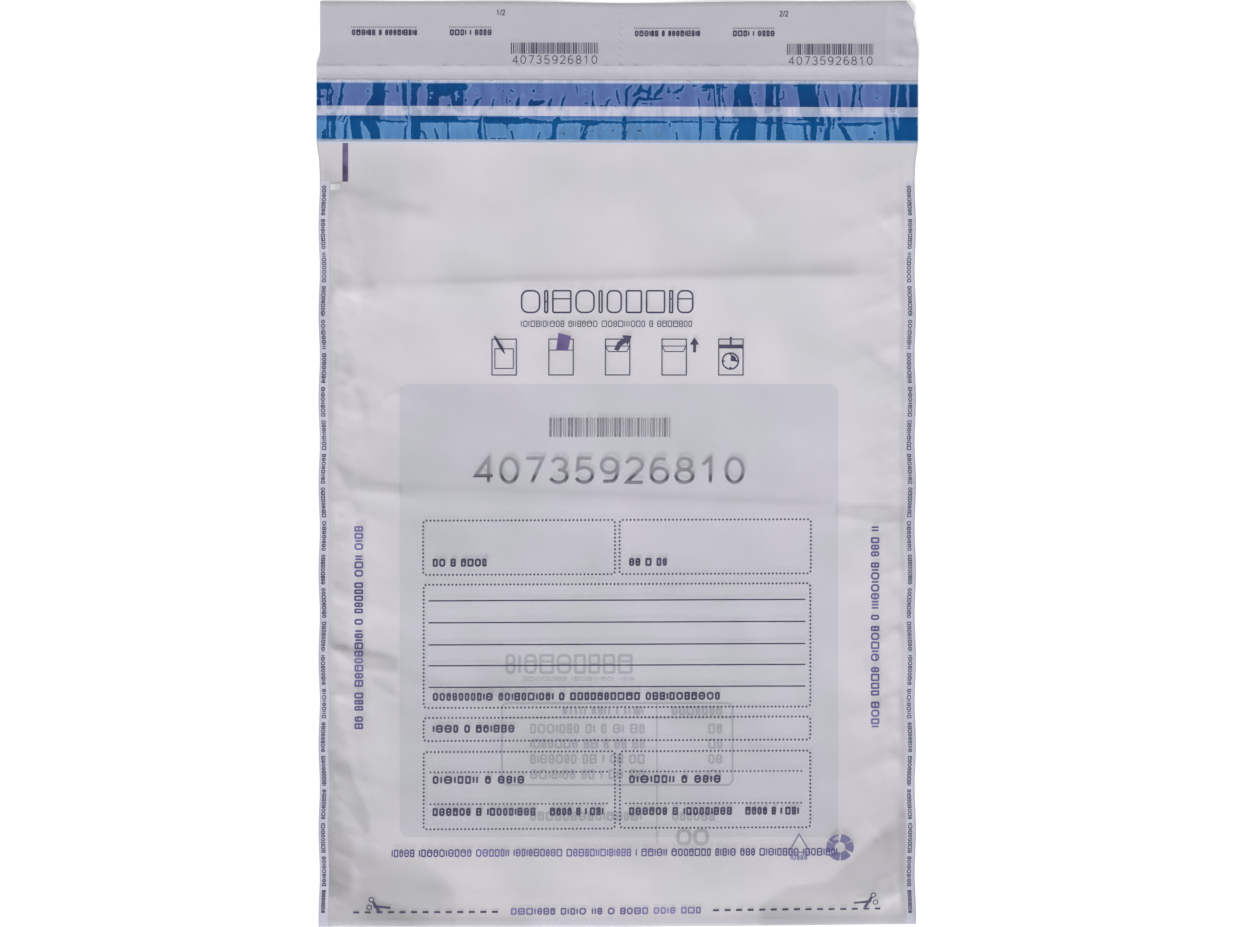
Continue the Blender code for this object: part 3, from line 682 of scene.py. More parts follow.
def crease_rise(x, y):
    """Listed creases, each a bent line with a slope on both sides."""
    total = np.zeros_like(x)
    for points, rise, run_above, run_below in CREASES:
        nearest = np.full_like(x, FAR)
        height = np.zeros_like(x)
        places = [(sheet_x(across), sheet_y(down)) for across, down in points]
        for index, (start, end) in enumerate(zip(places, places[1:])):
            along, off_x, off_y = off_line(x, y, start, end)
            distance = np.hypot(off_x, off_y)
            run = np.where(off_y > 0, run_above, run_below) * MM
            place = (index + along) / (len(places) - 1)
            taper = smooth(place / CREASE_TAPER) * smooth((1 - place) / CREASE_TAPER)
            slope = rise * MM * taper * np.exp(-distance / run)
            height = np.where(distance < nearest, slope, height)
            nearest = np.minimum(nearest, distance)
        total = total + height
    return total


def waves(x, y, seed, shortest, longest, count=12):
    """Mixed waves in all directions, about one high, the same each run."""
    draw = random.Random(seed)
    total = np.zeros_like(x)
    for _ in range(count):
        angle = draw.uniform(0, math.pi)
        pitch = draw.uniform(shortest, longest)
        along = x * math.cos(angle) + y * math.sin(angle)
        total = total + np.sin(2 * math.pi * along / pitch + draw.uniform(0, 2 * math.pi))
    return total / math.sqrt(count)


def facets(x, y, seed, shortest, longest, count=5):
    """Flat facets that meet in straight creases, about one high, the same each run."""
    draw = random.Random(seed)
    total = np.zeros_like(x)
    for _ in range(count):
        angle = draw.uniform(0, math.pi)
        along = x * math.cos(angle) + y * math.sin(angle)
        turn = along / draw.uniform(shortest, longest) + draw.random()
        total = total + 2 * np.abs(turn - np.round(turn))
    return total / math.sqrt(count)


def crumple_rise(inside, x, y, seed):
    """Crumpled facets beside one weld, where inside is the distance from it."""
    broad = facets(x, y, seed, *CRUMPLE_PITCHES)
    fine = facets(x, y, seed + 1, *CRUMPLE_FINE_PITCHES)
    inside = np.maximum(inside, 0)
    fade = np.exp(-inside / CRUMPLE_REACH) * smooth(inside / CRUMPLE_START)
    return CRUMPLE_RISE * fade * (broad + CRUMPLE_FINE_SHARE * fine)


def front_rise(x, y):
    """Height of the pocket, from the back panel up to the front panel's underside."""
    left = x - (left_edge(y) + WELD_WIDTH)
    right = (right_edge(y) - WELD_WIDTH) - x
    bottom = y - FOLD
    nearest = np.minimum(left, right)
    from_weld = smooth(nearest / PILLOW_RUN)
    rise = PILLOW_RISE + fold_ridge(x, bottom) + RIPPLE_RISE * waves(x, y, 7, *RIPPLE_PITCHES)
    rise = rise * from_weld + crease_rise(x, y) * smooth(nearest / CREASE_START)
    for inside, heights, seed in ((left, LEFT_PUCKERS, 31), (right, RIGHT_PUCKERS, 41)):
        rise = rise + puckers(inside, bottom, heights) + crumple_rise(inside, x, y, seed)
    rise = rise * smooth(bottom / PILLOW_RUN)
    lip = LAYER_GAP * from_weld
    return lip + (np.maximum(rise, lip) - lip) * smooth((MOUTH - y) / MOUTH_RUN)


def flap_rise(x, y):
    """Height of the single film's underside: a valley above the liner, then waves."""
    down = (PERFORATION - y) / (PERFORATION - LINER_HIGH.y)
    valley = np.interp(down, VALLEY_PLACES, VALLEY_RISES) * MM
    wave = (1 - np.cos(2 * math.pi * x / RECEIPT_WAVE)) / 2
    lift = RECEIPT_LIFT * wave * smooth((y - PERFORATION) / RECEIPT_HEIGHT)
    corner = CORNER_LIFT * bell(np.hypot(WIDTH / 2 - x, TOP - y) / CORNER_RUN)
    crushed = END_CRUMPLE * facets(x, y, 29, *END_PITCHES)
    crushed = crushed * smooth((x - END_CRUMPLE_START) / END_CRUMPLE_RUN)
    above = smooth((y - PERFORATION) / RECEIPT_START_RUN)
    dents = FLAP_DENTS * np.abs(waves(x, y, 23, *DENT_PITCHES))
    dents = dents * smooth((DENT_END - down) / DENT_FADE) * np.where(down > 0, 1.0, RECEIPT_DENTS)
    ridges = RIDGE_CREASES * facets(x, y * RIDGE_STRETCH, 27, *RIDGE_PITCHES)
    ridges = ridges * bell((down - RIDGE_PLACE) / RIDGE_REACH)
    return valley + (lift + corner + crushed) * above + ridges + dents


def linear(color):
    """Scene colour from a colour as it looks on screen, 0 to 255 a channel."""
    return tuple(
        c / 12.92 if c <= 0.04045 else ((c + 0.055) / 1.055) ** 2.4
        for c in (channel / 255 for channel in color)
    )


def new_material(name, roughness, alpha=1.0):
    made = bpy.data.materials.new(name)
    made.use_nodes = True
    shader = made.node_tree.nodes["Principled BSDF"]
    shader.inputs["Roughness"].default_value = roughness
    shader.inputs["Alpha"].default_value = alpha
    return made, shader


def add_node(made, kind, inputs=None, **settings):
    """Adds a shader node, with values or links for its inputs."""
    node = made.node_tree.nodes.new(kind)
    for key, value in settings.items():
        setattr(node, key, value)
    for key, value in (inputs or {}).items():
        if isinstance(value, bpy.types.NodeSocket):
            made.node_tree.links.new(value, node.inputs[key])
        else:
            node.inputs[key].default_value = value
    return node


def piece_place(made):
    """Place on the piece, in metres."""
    return add_node(made, "ShaderNodeTexCoord").outputs["Object"]


def stored(made, name):
    """The number stored for each point of the piece."""
    return add_node(made, "ShaderNodeAttribute", attribute_name=name).outputs["Fac"]


def map_range(made, value, limits):
    return add_node(made, "ShaderNodeMapRange", {"Value": value, **limits}).outputs[0]


def noise(made, scale, detail=3.0, stretch=(1.0, 1.0, 1.0)):
    """Noise over the piece, in waves for each metre."""
    place = {"Vector": piece_place(made), "Scale": stretch}
    stretched = add_node(made, "ShaderNodeMapping", place).outputs[0]
    waves_of = {"Vector": stretched, "Scale": scale, "Detail": detail}
    return add_node(made, "ShaderNodeTexNoise", waves_of).outputs["Fac"]


def ramp(made, factor, stops):
    """Colour ramp from (place, screen colour) stops."""
    node = add_node(made, "ShaderNodeValToRGB", {"Fac": factor})
    elements = node.color_ramp.elements
    while len(elements) < len(stops):
        elements.new(0.5)
    for element, (place, color) in zip(elements, stops):
        element.position = place
        element.color = (*linear(color), 1.0)
    return node.outputs["Color"]


def blend(made, factor, low, high, stops=CLOUD_STOPS):
    """Tone that goes from one colour to the other as the factor rises."""
    return ramp(made, factor, tuple(zip(stops, (low, high))))


def link(made, output, shader, name):
    made.node_tree.links.new(output, shader.inputs[name])


def bump(made, shader, height, strength, distance):
    inputs = {"Height": height, "Strength": strength, "Distance": distance}
    link(made, add_node(made, "ShaderNodeBump", inputs).outputs["Normal"], shader, "Normal")


def vector_step(made, operation, first, second=(0.0, 0.0, 0.0)):
    return add_node(made, "ShaderNodeVectorMath", {0: first, 1: second}, operation=operation)


def box_mask(made, box, radius):
    """1 inside a round-cornered box on the sheet and 0 outside."""
    left, top, right, bottom = box
    half_width = (sheet_x(right) - sheet_x(left)) / 2
    half_height = (sheet_y(top) - sheet_y(bottom)) / 2
    half = (half_width - radius * MM, half_height - radius * MM, 1.0)
    centre = (sheet_x(left) + half_width, sheet_y(bottom) + half_height, 0.0)
    from_centre = vector_step(made, "SUBTRACT", piece_place(made), centre).outputs[0]
    size = vector_step(made, "ABSOLUTE", from_centre).outputs[0]
    past = vector_step(made, "SUBTRACT", size, half).outputs[0]
    corner = vector_step(made, "MAXIMUM", past).outputs[0]
    distance = vector_step(made, "LENGTH", corner).outputs["Value"]
    limits = {"From Min": (radius + MASK_EDGE) * MM, "From Max": (radius - MASK_EDGE) * MM}
    return map_range(made, distance, limits)


def mix_color(made, factor, first, second, mode="MIX"):
    inputs = {"Factor": factor, **dict(zip(MIX_COLORS, (first, second)))}
    node = add_node(made, "ShaderNodeMix", inputs, data_type="RGBA", blend_type=mode)
    return node.outputs[2]


def multiply(made, first, second):
    return mix_color(made, 1.0, first, second, "MULTIPLY")


def film_material(name, dark, light, alpha=FILM_ALPHA, field=None, with_painted_shade=False):
    """Polyethylene film: cloudy tone, painted shade and dents, with a matt printed field on some
    panels.
    """
    made, shader = new_material(name, FILM_ROUGHNESS, alpha)
    clouds = noise(made, FILM_CLOUDS)
    color = blend(made, clouds, dark, light)
    if field:
        box, radius, field_dark, field_light = field
        mask = box_mask(made, box, radius)
        color = mix_color(made, mask, color, blend(made, clouds, field_dark, field_light))
        limits = {"To Min": FILM_ROUGHNESS, "To Max": FIELD_ROUGHNESS}
        link(made, map_range(made, mask, limits), shader, "Roughness")
    if with_painted_shade:
        # Painted shade: the stored amount darkens the base colour toward its deepest tone
        deepest = [255 * (1 - PAINTED_SHADE_LIMIT * PAINTED_SHADE_GAIN / FILM_TONE)] * 3
        painted_shade = blend(made, stored(made, "painted_shade"), [255] * 3, deepest, (0.0, 1.0))
        color = multiply(made, color, painted_shade)
    link(made, color, shader, "Base Color")
    wrinkles = noise(made, FILM_WRINKLES, WRINKLE_DETAIL)
    bump(made, shader, wrinkles, WRINKLE_STRENGTH, WRINKLE_DEPTH)
    return made


def ink_material(name, dark, light, scale=120.0):
    """Printing ink, uneven in waves for each metre."""
    made, shader = new_material(name, INK_ROUGHNESS)
    link(made, blend(made, noise(made, scale), dark, light), shader, "Base Color")
    bump(made, shader, noise(made, INK_GRAIN), INK_GRAIN_STRENGTH, INK_GRAIN_DEPTH)
    return made


def number_material():
    """Grey ink of the numbers, with painted shade in a band near the foot of the large digits."""
    made, shader = new_material("ink_number", INK_ROUGHNESS)
    height = add_node(made, "ShaderNodeSeparateXYZ", {0: piece_place(made)}).outputs["Y"]
    limits = {"From Min": sheet_y(NUMBER_BOTTOM), "From Max": sheet_y(BARCODE_TOP)}
    share = map_range(made, height, limits)
    # Greys from the foot of the large digits up to the top of the bars: the dark band and the steps
    # are painted shade and glare of the glossy film over the ink
    painted_glare_tones = (
        (0.00, (140, 137, 146)),
        (0.045, (96, 93, 104)),
        (0.095, (92, 89, 100)),
        (0.15, (142, 140, 149)),
        (0.40, (150, 148, 157)),
        (0.70, (126, 123, 134)),
        (0.86, (140, 137, 148)),
        (1.00, (122, 119, 130)),
    )
    grain = blend(made, noise(made, NUMBER_GRAIN), (236, 236, 238), (255, 255, 255))
    link(made, multiply(made, ramp(made, share, painted_glare_tones), grain), shader, "Base Color")
    return made


def finish_piece(name, vertices, faces, materials, smooth_faces=True):
    """Mesh object that belongs to the envelope."""
    mesh = bpy.data.meshes.new(name)
    mesh.from_pydata(vertices, [], faces)
    for entry in materials:
        mesh.materials.append(entry)
    if smooth_faces:
        mesh.shade_smooth()
    piece = bpy.data.objects.new(name, mesh)
    bpy.context.scene.collection.objects.link(piece)
    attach(piece, "root")
    return piece


def grid_faces(rows, columns, skip=()):
    """Quads of a grid, without the cells in skip."""
    faces = []
    for row in range(rows - 1):
        for column in range(columns - 1):
            if (row, column) in skip:
                continue
            first = row * columns + column
            faces.append((first, first + columns, first + columns + 1, first + 1))
    return faces


def grid_points(x, y, z):
    return np.stack([x.ravel(), y.ravel(), z.ravel()], axis=1).tolist()


def thicken(piece, thickness):
    """Closes a sheet into a thin solid, behind its faces."""
    solid = piece.modifiers.new("thickness", "SOLIDIFY")
    solid.thickness = thickness
    solid.offset = -1.0


def panel_columns(y):
    """X of every column of the pouch at each height, following the welded edges."""
    weld = np.linspace(0, WELD_WIDTH, WELD_STEPS, endpoint=False)
    side = np.linspace(WELD_WIDTH, SIDE_ZONE, SIDE_STEPS, endpoint=False)
    inward = np.concatenate([weld, side])
    middle = np.linspace(0, 1, MIDDLE_STEPS + 1)
    rows = []
    for low, high in zip(left_edge(y), right_edge(y)):
        start, end = low + SIDE_ZONE, high - SIDE_ZONE
        rows.append(
            np.concatenate([low + inward, start + middle * (end - start), high - inward[::-1]])
        )
    return np.array(rows)


def set_values(piece, name, values):
    """Stores one number for each point of a piece, for its material to read."""
    attribute = piece.data.attributes.new(name, "FLOAT", "POINT")
    attribute.data.foreach_set("value", np.asarray(values, dtype=np.float32))


def painted_film_shade(x, y):
    """Painted shade of the film at each point, as a share of its limit."""
    across, down = across_at(x), down_at(y)
    total = np.zeros_like(x)
    for levels, softness, stroke in PAINTED_SHADES:
        depth = stroke_depth(across, down, (stroke,))
        total = total + levels * smooth(0.5 + depth / (2 * softness))
    for levels, corners in PAINTED_FACET_SHADES:
        share = levels
        for start, end in zip(corners, (*corners[1:], corners[0])):
            run, fall = end[0] - start[0], end[1] - start[1]
            depth = run * (down - start[1]) - fall * (across - start[0])
            share = share * smooth(0.5 + depth / math.hypot(run, fall) / (2 * start[2]))
        total = total + share
    return np.clip(total, 0, PAINTED_SHADE_LIMIT) / PAINTED_SHADE_LIMIT


def film_sheet(name, x, y, z, faces, materials, painted_shade):
    """Sheet of film with its painted shade, closed into a thin solid, and its surface to look heights
    up.
    """
    points = grid_points(x, y, z)
    piece = finish_piece(name, points, faces, materials)
    set_values(piece, "painted_shade", painted_shade.ravel())
    thicken(piece, FILM)
    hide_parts("film_pouch")
    return piece, BVHTree.FromPolygons(points, faces)


def make_panel(name, x, y, z, materials):
    """One panel of the pouch: film, then welded strips, then a first row in its own material."""
    # Painted shade of the panel's film, taken at the places before they are shifted
    painted_shade = painted_film_shade(x, y)
    sheet = film_sheet(name, x, y + edge_shift(x, y), z, grid_faces(*x.shape), materials, painted_shade)
    columns = x.shape[1] - 1
    outer = {*range(WELD_STEPS), *range(columns - WELD_STEPS, columns)}
    for index, polygon in enumerate(sheet[0].data.polygons):
        row, column = divmod(index, columns)
        if row == 0:
            polygon.material_index = len(materials) - 1
        elif column in outer and y[row, 0] < sheet_y(WELD_TINT_TOP):
            polygon.material_index = 1
    return sheet


def make_front(materials):
    """Front panel from the mouth down and round the bottom fold.

    The film lets light through, so the front panel throws no shadow into the pocket.
    """
    radius = FILM + WELD_GAP / 2
    count = round((MOUTH - FOLD) / FRONT_STEP)
    turns = np.radians(FOLD_TURNS)
    y = np.concatenate(
        [np.linspace(MOUTH, FOLD + radius, count), FOLD + radius - radius * np.sin(turns)]
    )
    x = panel_columns(y)
    y = np.repeat(y[:, None], x.shape[1], axis=1)
    z = 2 * FILM + WELD_GAP + front_rise(x, y)
    z[count:] = (radius + radius * np.cos(turns))[:, None]
    piece, tree = make_panel("front_panel", x, y, z, materials)
    piece.visible_shadow = False
    return tree


def make_back(materials):
    """Back panel from the bottom fold to under the tape."""
    start = FOLD + FILM + WELD_GAP / 2
    end = (TAPE_LOW.y + TAPE_HIGH.y) / 2
    y = np.linspace(start, end, round((end - start) / BACK_STEP))
    x = panel_columns(y)
    y = np.repeat(y[:, None], x.shape[1], axis=1)
    inside = np.minimum(x - left_edge(y), right_edge(y) - x) - WELD_WIDTH
    inside = np.minimum(inside, y - FOLD - WELD_WIDTH)
    inside = np.minimum(inside, MOUTH - y - WELD_WIDTH)
    hollow = np.maximum(waves(x, y, 17, *HOLLOW_PITCHES), 0) * smooth(inside / PILLOW_RUN)
    return make_panel("back_panel", x, y, BACK_HOLLOW * hollow, materials)[1]


def slit_lines(centres):
    """Places of grid lines at both ends of every slit and halfway between slits."""
    shifts = (-SLIT / 2, SLIT / 2, SLIT_PITCH / 2)
    return {centre + shift for centre in centres for shift in shifts}


def flap_lines(across, upward):
    """Places of the flap's grid lines between its side ends, and of its rows."""
    limit = WIDTH / 2 - FLAP_END
    columns = {x for x in slit_lines(across) if abs(x) < limit and abs(x - SPLIT) > SLIT_WIDTH}
    columns |= {SPLIT - SLIT_WIDTH / 2, SPLIT + SLIT_WIDTH / 2}
    bottom = (TAPE_LOW.y + TAPE_HIGH.y) / 2
    rows = set(np.linspace(bottom, PERFORATION - FLAP_ROW_GAP, FLAP_LOW_ROWS))
    rows |= {PERFORATION - SLIT_WIDTH / 2, PERFORATION + SLIT_WIDTH / 2, TOP}
    rows |= {y for y in slit_lines(upward) if y < TOP}
    return np.array(sorted(columns)), np.array(sorted(rows))


def slit_cells(x, rows, across, upward):
    """Cells of the flap's grid that the perforation slits take out."""
    cells = set()
    for row, middle_y in enumerate((rows[:-1] + rows[1:]) / 2):
        on_line = abs(middle_y - PERFORATION) < SLIT_WIDTH
        for column, middle_x in enumerate((x[row, :-1] + x[row, 1:]) / 2):
            cut_across = on_line and min(abs(middle_x - place) for place in across) < SLIT / 4
            on_split = abs(middle_x - SPLIT) < SLIT_WIDTH
            cut_up = on_split and min(abs(middle_y - place) for place in upward) < SLIT / 4
            if cut_across or cut_up:
                cells.add((row, column))
    return cells


def make_flap(film):
    """Single film from under the tape to the top edge, with the perforation cut through it."""
    count = int((WIDTH - SLIT_PITCH) / SLIT_PITCH)
    across = [(index - (count - 1) / 2) * SLIT_PITCH for index in range(count)]
    count_up = int(RECEIPT_HEIGHT / SLIT_PITCH)
    upward = [PERFORATION + (index + 0.5) * SLIT_PITCH for index in range(count_up)]
    columns, rows = flap_lines(across, upward)
    x = []
    for y in rows:
        left = np.linspace(left_edge(y), columns[0], FLAP_END_STEPS, endpoint=False)
        right = np.linspace(right_edge(y), columns[-1], FLAP_END_STEPS, endpoint=False)[::-1]
        x.append(np.concatenate([left, columns, right]))
    x = np.array(x)
    y = np.repeat(rows[:, None], x.shape[1], axis=1)
    z = FILM + flap_rise(x, y)
    y = y + edge_shift(x, y)
    cells = slit_cells(x, rows, across, upward)
    faces = [tuple(reversed(face)) for face in grid_faces(*x.shape, cells)]
    # The flap's film carries painted shade as well
    return film_sheet("closing_flap", x, y, z, faces, [film], painted_film_shade(x, y))[1]


class Ink:
    """Closed flat shapes of ink, given in millimetres on the sheet and laid on a surface."""

    def __init__(self, height_of, tilt=0.0):
        self.height_of = height_of
        self.tilt = tilt
        self.vertices = []
        self.faces = []

    def ribbon(self, left, right, closed=False):
        """Slab between two lists of points."""
        first = len(self.vertices)
        for pair in zip(left, right):
            for across, down in pair:
                x = sheet_x(across)
                y = sheet_y(down + self.tilt * (SHEET_WIDTH / 2 - across))
                if self.tilt:
                    y += edge_shift(x, y)
                base = self.height_of(x, y)
                self.vertices += [(x, y, base), (x, y, base + INK)]
        count = len(left)
        steps = count if closed else count - 1
        for index in range(steps):
            here = first + 4 * index
            there = first + 4 * ((index + 1) % count)
            self.faces.append((here + 1, there + 1, there + 3, here + 3))
            self.faces.append((here, here + 2, there + 2, there))
            self.faces.append((here, there, there + 1, here + 1))
            self.faces.append((here + 2, here + 3, there + 3, there + 2))
        if not closed:
            last = first + 4 * (count - 1)
            self.faces.append((first, first + 1, first + 3, first + 2))
            self.faces.append((last, last + 2, last + 3, last + 1))

    def bar(self, left, top, right, bottom):
        """Upright or lying rectangle, split along its longer side."""
        if right - left > bottom - top:
            places = subdivide(left, right)
            self.ribbon([(place, top) for place in places], [(place, bottom) for place in places])
        else:
            places = subdivide(top, bottom)
            self.ribbon([(left, place) for place in places], [(right, place) for place in places])

    def stroke(self, points, width, closed=False):
        """Line of even width through the points."""
        points = dense(points, closed)
        left, right = [], []
        count = len(points)
        for index, (across, down) in enumerate(points):
            before = points[index - 1] if index or closed else points[index]
            after = points[(index + 1) % count] if index < count - 1 or closed else points[index]
            into = Vector((across - before[0], down - before[1]))
            out = Vector((after[0] - across, after[1] - down))
            into = into.normalized() if into.length else out.normalized()
            out = out.normalized() if out.length else into
            along = (into + out).normalized()
            reach = width / 2 / max(along.dot(into), MITRE_LIMIT)
            left.append((across - along.y * reach, down + along.x * reach))
            right.append((across + along.y * reach, down - along.x * reach))
        self.ribbon(left, right, closed)

    def dot(self, across, down, radius):
        """Small round dot with six sides."""
        left = [(across - wide * radius, down + high * radius) for high, wide in HEXAGON]
        right = [(across + wide * radius, down + high * radius) for high, wide in HEXAGON]
        self.ribbon(left, right)

    def dotted(self, points, pitch, radius, closed=False):
        """Row of evenly spaced dots along a line."""
        points = [*points, points[0]] if closed else points
        ends = np.cumsum([0.0, *(math.dist(*pair) for pair in zip(points, points[1:]))])
        places = np.linspace(0, ends[-1], max(1, round(ends[-1] / pitch)), endpoint=False)
        across, down = (np.interp(places, ends, values) for values in zip(*points))
        for place in zip(across, down):
            self.dot(*place, radius)

    def piece(self, name, material):
        """Makes one piece of all the shapes so far."""
        made = finish_piece(name, self.vertices, self.faces, [material], smooth_faces=False)
        bm = bmesh.new()
        bm.from_mesh(made.data)
        bmesh.ops.recalc_face_normals(bm, faces=bm.faces)
        bm.to_mesh(made.data)
        bm.free()


def subdivide(start, end):
    return np.linspace(start, end, max(2, math.ceil(abs(end - start) / INK_STEP) + 1))


def dense(points, closed):
    """The same line with points no further apart than the ink's step."""
    loop = [*points, points[0]] if closed else points
    made = []
    for start, end in zip(loop, loop[1:]):
        steps = max(1, math.ceil(math.dist(start, end) / INK_STEP))
        made += between(start, end, steps)[:-1]
    return made if closed else [*made, loop[-1]]


def between(start, end, steps=5):
    """Points from one place to another."""
    shares = [step / steps for step in range(steps + 1)]
    return [tuple(a + (b - a) * share for a, b in zip(start, end)) for share in shares]


def arc(centre, radii, start, end, steps=12):
    """Points of an elliptic arc, with angles in degrees anticlockwise from the right."""
    turns = [math.radians(start + (end - start) * step / steps) for step in range(steps + 1)]
    ends = [(math.cos(turn), math.sin(turn)) for turn in turns]
    return [(centre[0] + radii[0] * u, centre[1] + radii[1] * v) for u, v in ends]


def rounded(left, top, right, bottom, radius, steps=3):
    """Outline of a box with round corners, on the sheet."""
    points = []
    corners = ((right, top, -90), (right, bottom, 0), (left, bottom, 90), (left, top, 180))
    for across, down, start in corners:
        centre_x = across - radius if across == right else across + radius
        centre_y = down - radius if down == bottom else down + radius
        points += arc((centre_x, centre_y), (radius, radius), start, start + 90, steps)
    return points


# Digits as strokes in a box one wide and one high, measured up from the bottom left
DIGITS = {
    "0": (arc((0.5, 0.5), (0.5, 0.5), 90, 450, 20),),
    "1": (((0.1, 0.74), (0.55, 1.0), (0.55, 0.0)),),
    "2": ((*arc((0.5, 0.72), (0.46, 0.28), 165, -35, 12), (0.02, 0.0), (1.0, 0.0)),),
    "3": (
        (*arc((0.48, 0.75), (0.42, 0.25), 160, -75, 10), (0.42, 0.52)),
        arc((0.46, 0.27), (0.5, 0.27), 75, -160, 12),
    ),
    "4": (((0.76, 0.0), (0.76, 1.0), (0.0, 0.28), (1.0, 0.28)),),
    "5": (
        (
            (0.92, 1.0),
            (0.16, 1.0),
            (0.08, 0.52),
            *arc((0.48, 0.31), (0.5, 0.31), 120, -155, 14),
        ),
    ),
    "6": (
        ((0.86, 0.96), (0.5, 0.99), *arc((0.5, 0.5), (0.48, 0.49), 115, 180, 6), (0.02, 0.34)),
        arc((0.5, 0.3), (0.48, 0.3), 0, 360, 16),
    ),
    "7": (((0.02, 1.0), (1.0, 1.0), (0.36, 0.0)),),
    "8": (arc((0.5, 0.76), (0.4, 0.24), 0, 360, 16), arc((0.5, 0.27), (0.5, 0.27), 0, 360, 16)),
    "9": (
        arc((0.5, 0.7), (0.48, 0.3), 0, 360, 16),
        ((0.98, 0.66), *arc((0.5, 0.5), (0.48, 0.49), 0, -65, 6), (0.14, 0.04)),
    ),
}
SERIAL = "40735926810"


def digits(ink, text, left, right, top, bottom, share, width):
    """Row of digits in a box on the sheet; share is a digit's part of its pitch."""
    pitch = (right - left) / (len(text) - 1 + share)
    for index, digit in enumerate(text):
        start = left + index * pitch
        for line in DIGITS[digit]:
            closed = math.dist(line[0], line[-1]) < 1e-6
            points = [(start + u * pitch * share, bottom - v * (bottom - top)) for u, v in line]
            ink.stroke(points[:-1] if closed else points, width, closed)


def barcode(ink, left, right, top, bottom, seed):
    """Bars of uneven width and spacing."""
    draw = random.Random(seed)
    bars = []
    place = 0.0
    while place < BARCODE_RUN:
        bars.append((place, place + draw.choice(BAR_WIDTHS)))
        place = bars[-1][1] + draw.choice(BAR_GAPS)
    scale = (right - left) / bars[-1][1]
    for start, end in bars:
        ink.bar(left + start * scale, top, left + end * scale, bottom)


def words(ink, place, length, height, counts, seed, weight):
    """Line of type as small open shapes; place turns (along, up) into a point on the sheet."""
    draw = random.Random(seed)
    line = height * weight
    widths = [[draw.choice(TYPE_WIDTHS) for _ in range(count)] for count in counts]
    pitch = length / (sum(map(sum, widths)) + WORD_SPACE * (len(counts) - 1))
    low, high = line / 2, height - line / 2
    along = 0.0
    for word in widths:
        for width in word:
            left, right = along + line / 2, along + (width - TYPE_GAP) * pitch - line / 2
            along += width * pitch
            if right - left < line:
                ink.stroke((place(left, low), place(left, high)), line)
                continue
            radius = (right - left) * draw.choice(TYPE_CORNERS)
            shape = rounded(left, low, right, high, radius, 1 + round(radius))
            ink.stroke([place(*corner) for corner in shape], line, closed=True)
            if draw.random() < CROSSBAR_SHARE:
                level = height * draw.choice(CROSSBAR_LEVELS)
                ink.stroke((place(left, level), place(right, level)), line * CROSSBAR_WEIGHT)
        along += WORD_SPACE * pitch


def label(ink, left, right, top, bottom, counts, seed=1, weight=0.24, reads="across"):
    """Line of type in a box on the sheet, that reads across, up or down."""
    places = {
        "across": lambda u, v: (left + u, bottom - v),
        "up": lambda u, v: (right - v, bottom - u),
        "down": lambda u, v: (left + v, top + u),
    }
    wide, high = right - left, bottom - top
    length, height = (wide, high) if reads == "across" else (high, wide)
    words(ink, places[reads], length, height, counts, seed, weight)


def print_form(ink):
    """Frames, rules and labels of the writing field."""
    for left, top, right, bottom in FRAMES:
        ink.dotted(rounded(left, top, right, bottom, 1.6), DOT_PITCH, DOT, closed=True)
    for down in RULES:
        ink.bar(60.7, down - RULE_WEIGHT / 2, 266.5, down + RULE_WEIGHT / 2)
    for left, right in ((61.8, 160.3), (168.5, 266.4)):
        for down in (420.9, 438.3):
            ink.dotted(((left, down), (right, down)), DOT_PITCH, DOT * 0.9)
    label(ink, 62.9, 93.0, 304.2, 308.6, (2, 1, 4), 11)
    label(ink, 170.2, 191.5, 304.2, 308.6, (2, 1, 2), 12)
    label(ink, 62.9, 220.5, 377.5, 381.9, (10, 10, 1, 10, 11), 13)
    label(ink, 62.9, 108.3, 395.0, 399.4, (4, 1, 6), 14)
    for shift in (0.0, 107.3):
        label(ink, 62.9 + shift, 113.8 + shift, 422.9, 427.3, (8, 1, 4), 15)
        label(ink, 62.9 + shift, 119.8 + shift, 440.4, 444.8, (6, 1, 9), 16)
        label(ink, 126.9 + shift * 0.995, 156.5 + shift * 0.995, 440.4, 444.8, (4, 1, 4), 17)


def print_receipts(ink):
    """Signing lines, labels and numbers of the two receipts."""
    for number, shift, low in ((0, 0.0, 0.2), (1, RECEIPT_PITCH, 0.8)):
        for left, right, counts in ((18.6, 54.7, (6, 1, 9)), (72.2, 95.5, (4, 1, 4))):
            line = ((left + shift, 13.7 + low), (right + shift, 13.7 + low))
            ink.dotted(line, 1.1, 0.36)
            label(ink, left + shift, right + shift, 14.9 + low, 18.2 + low, counts, 21 + round(left))
        mark = 97.9 + shift
        digits(ink, str(number + 1), mark, mark + 1.3, 4.4 + low, 7.1 + low, 1.0, 0.5)
        ink.stroke(((mark + 1.8, 7.3 + low), (mark + 2.7, 4.2 + low)), 0.4)
        digits(ink, "2", mark + 3.0, mark + 4.4, 4.4 + low, 7.1 + low, 1.0, 0.5)
    for left, right, top in ((105.6, 153.2, 22.4), (256.6, 303.7, 23.0)):
        barcode(ink, left, right, top, top + 6.1, 5)
        digits(ink, SERIAL, left + 1.1, right - 0.6, top + 7.2, top + 11.5, 0.62, 0.45)


def print_title(ink):
    """Rows of slim open boxes where the title and the line below it stand."""
    label(ink, 111.1, 207.4, 157.8, 170.5, (10,), 37, 0.07)
    label(ink, 111.1, 205.2, 174.5, 178.0, (11, 7, 10, 1, 7), 31, 0.13)


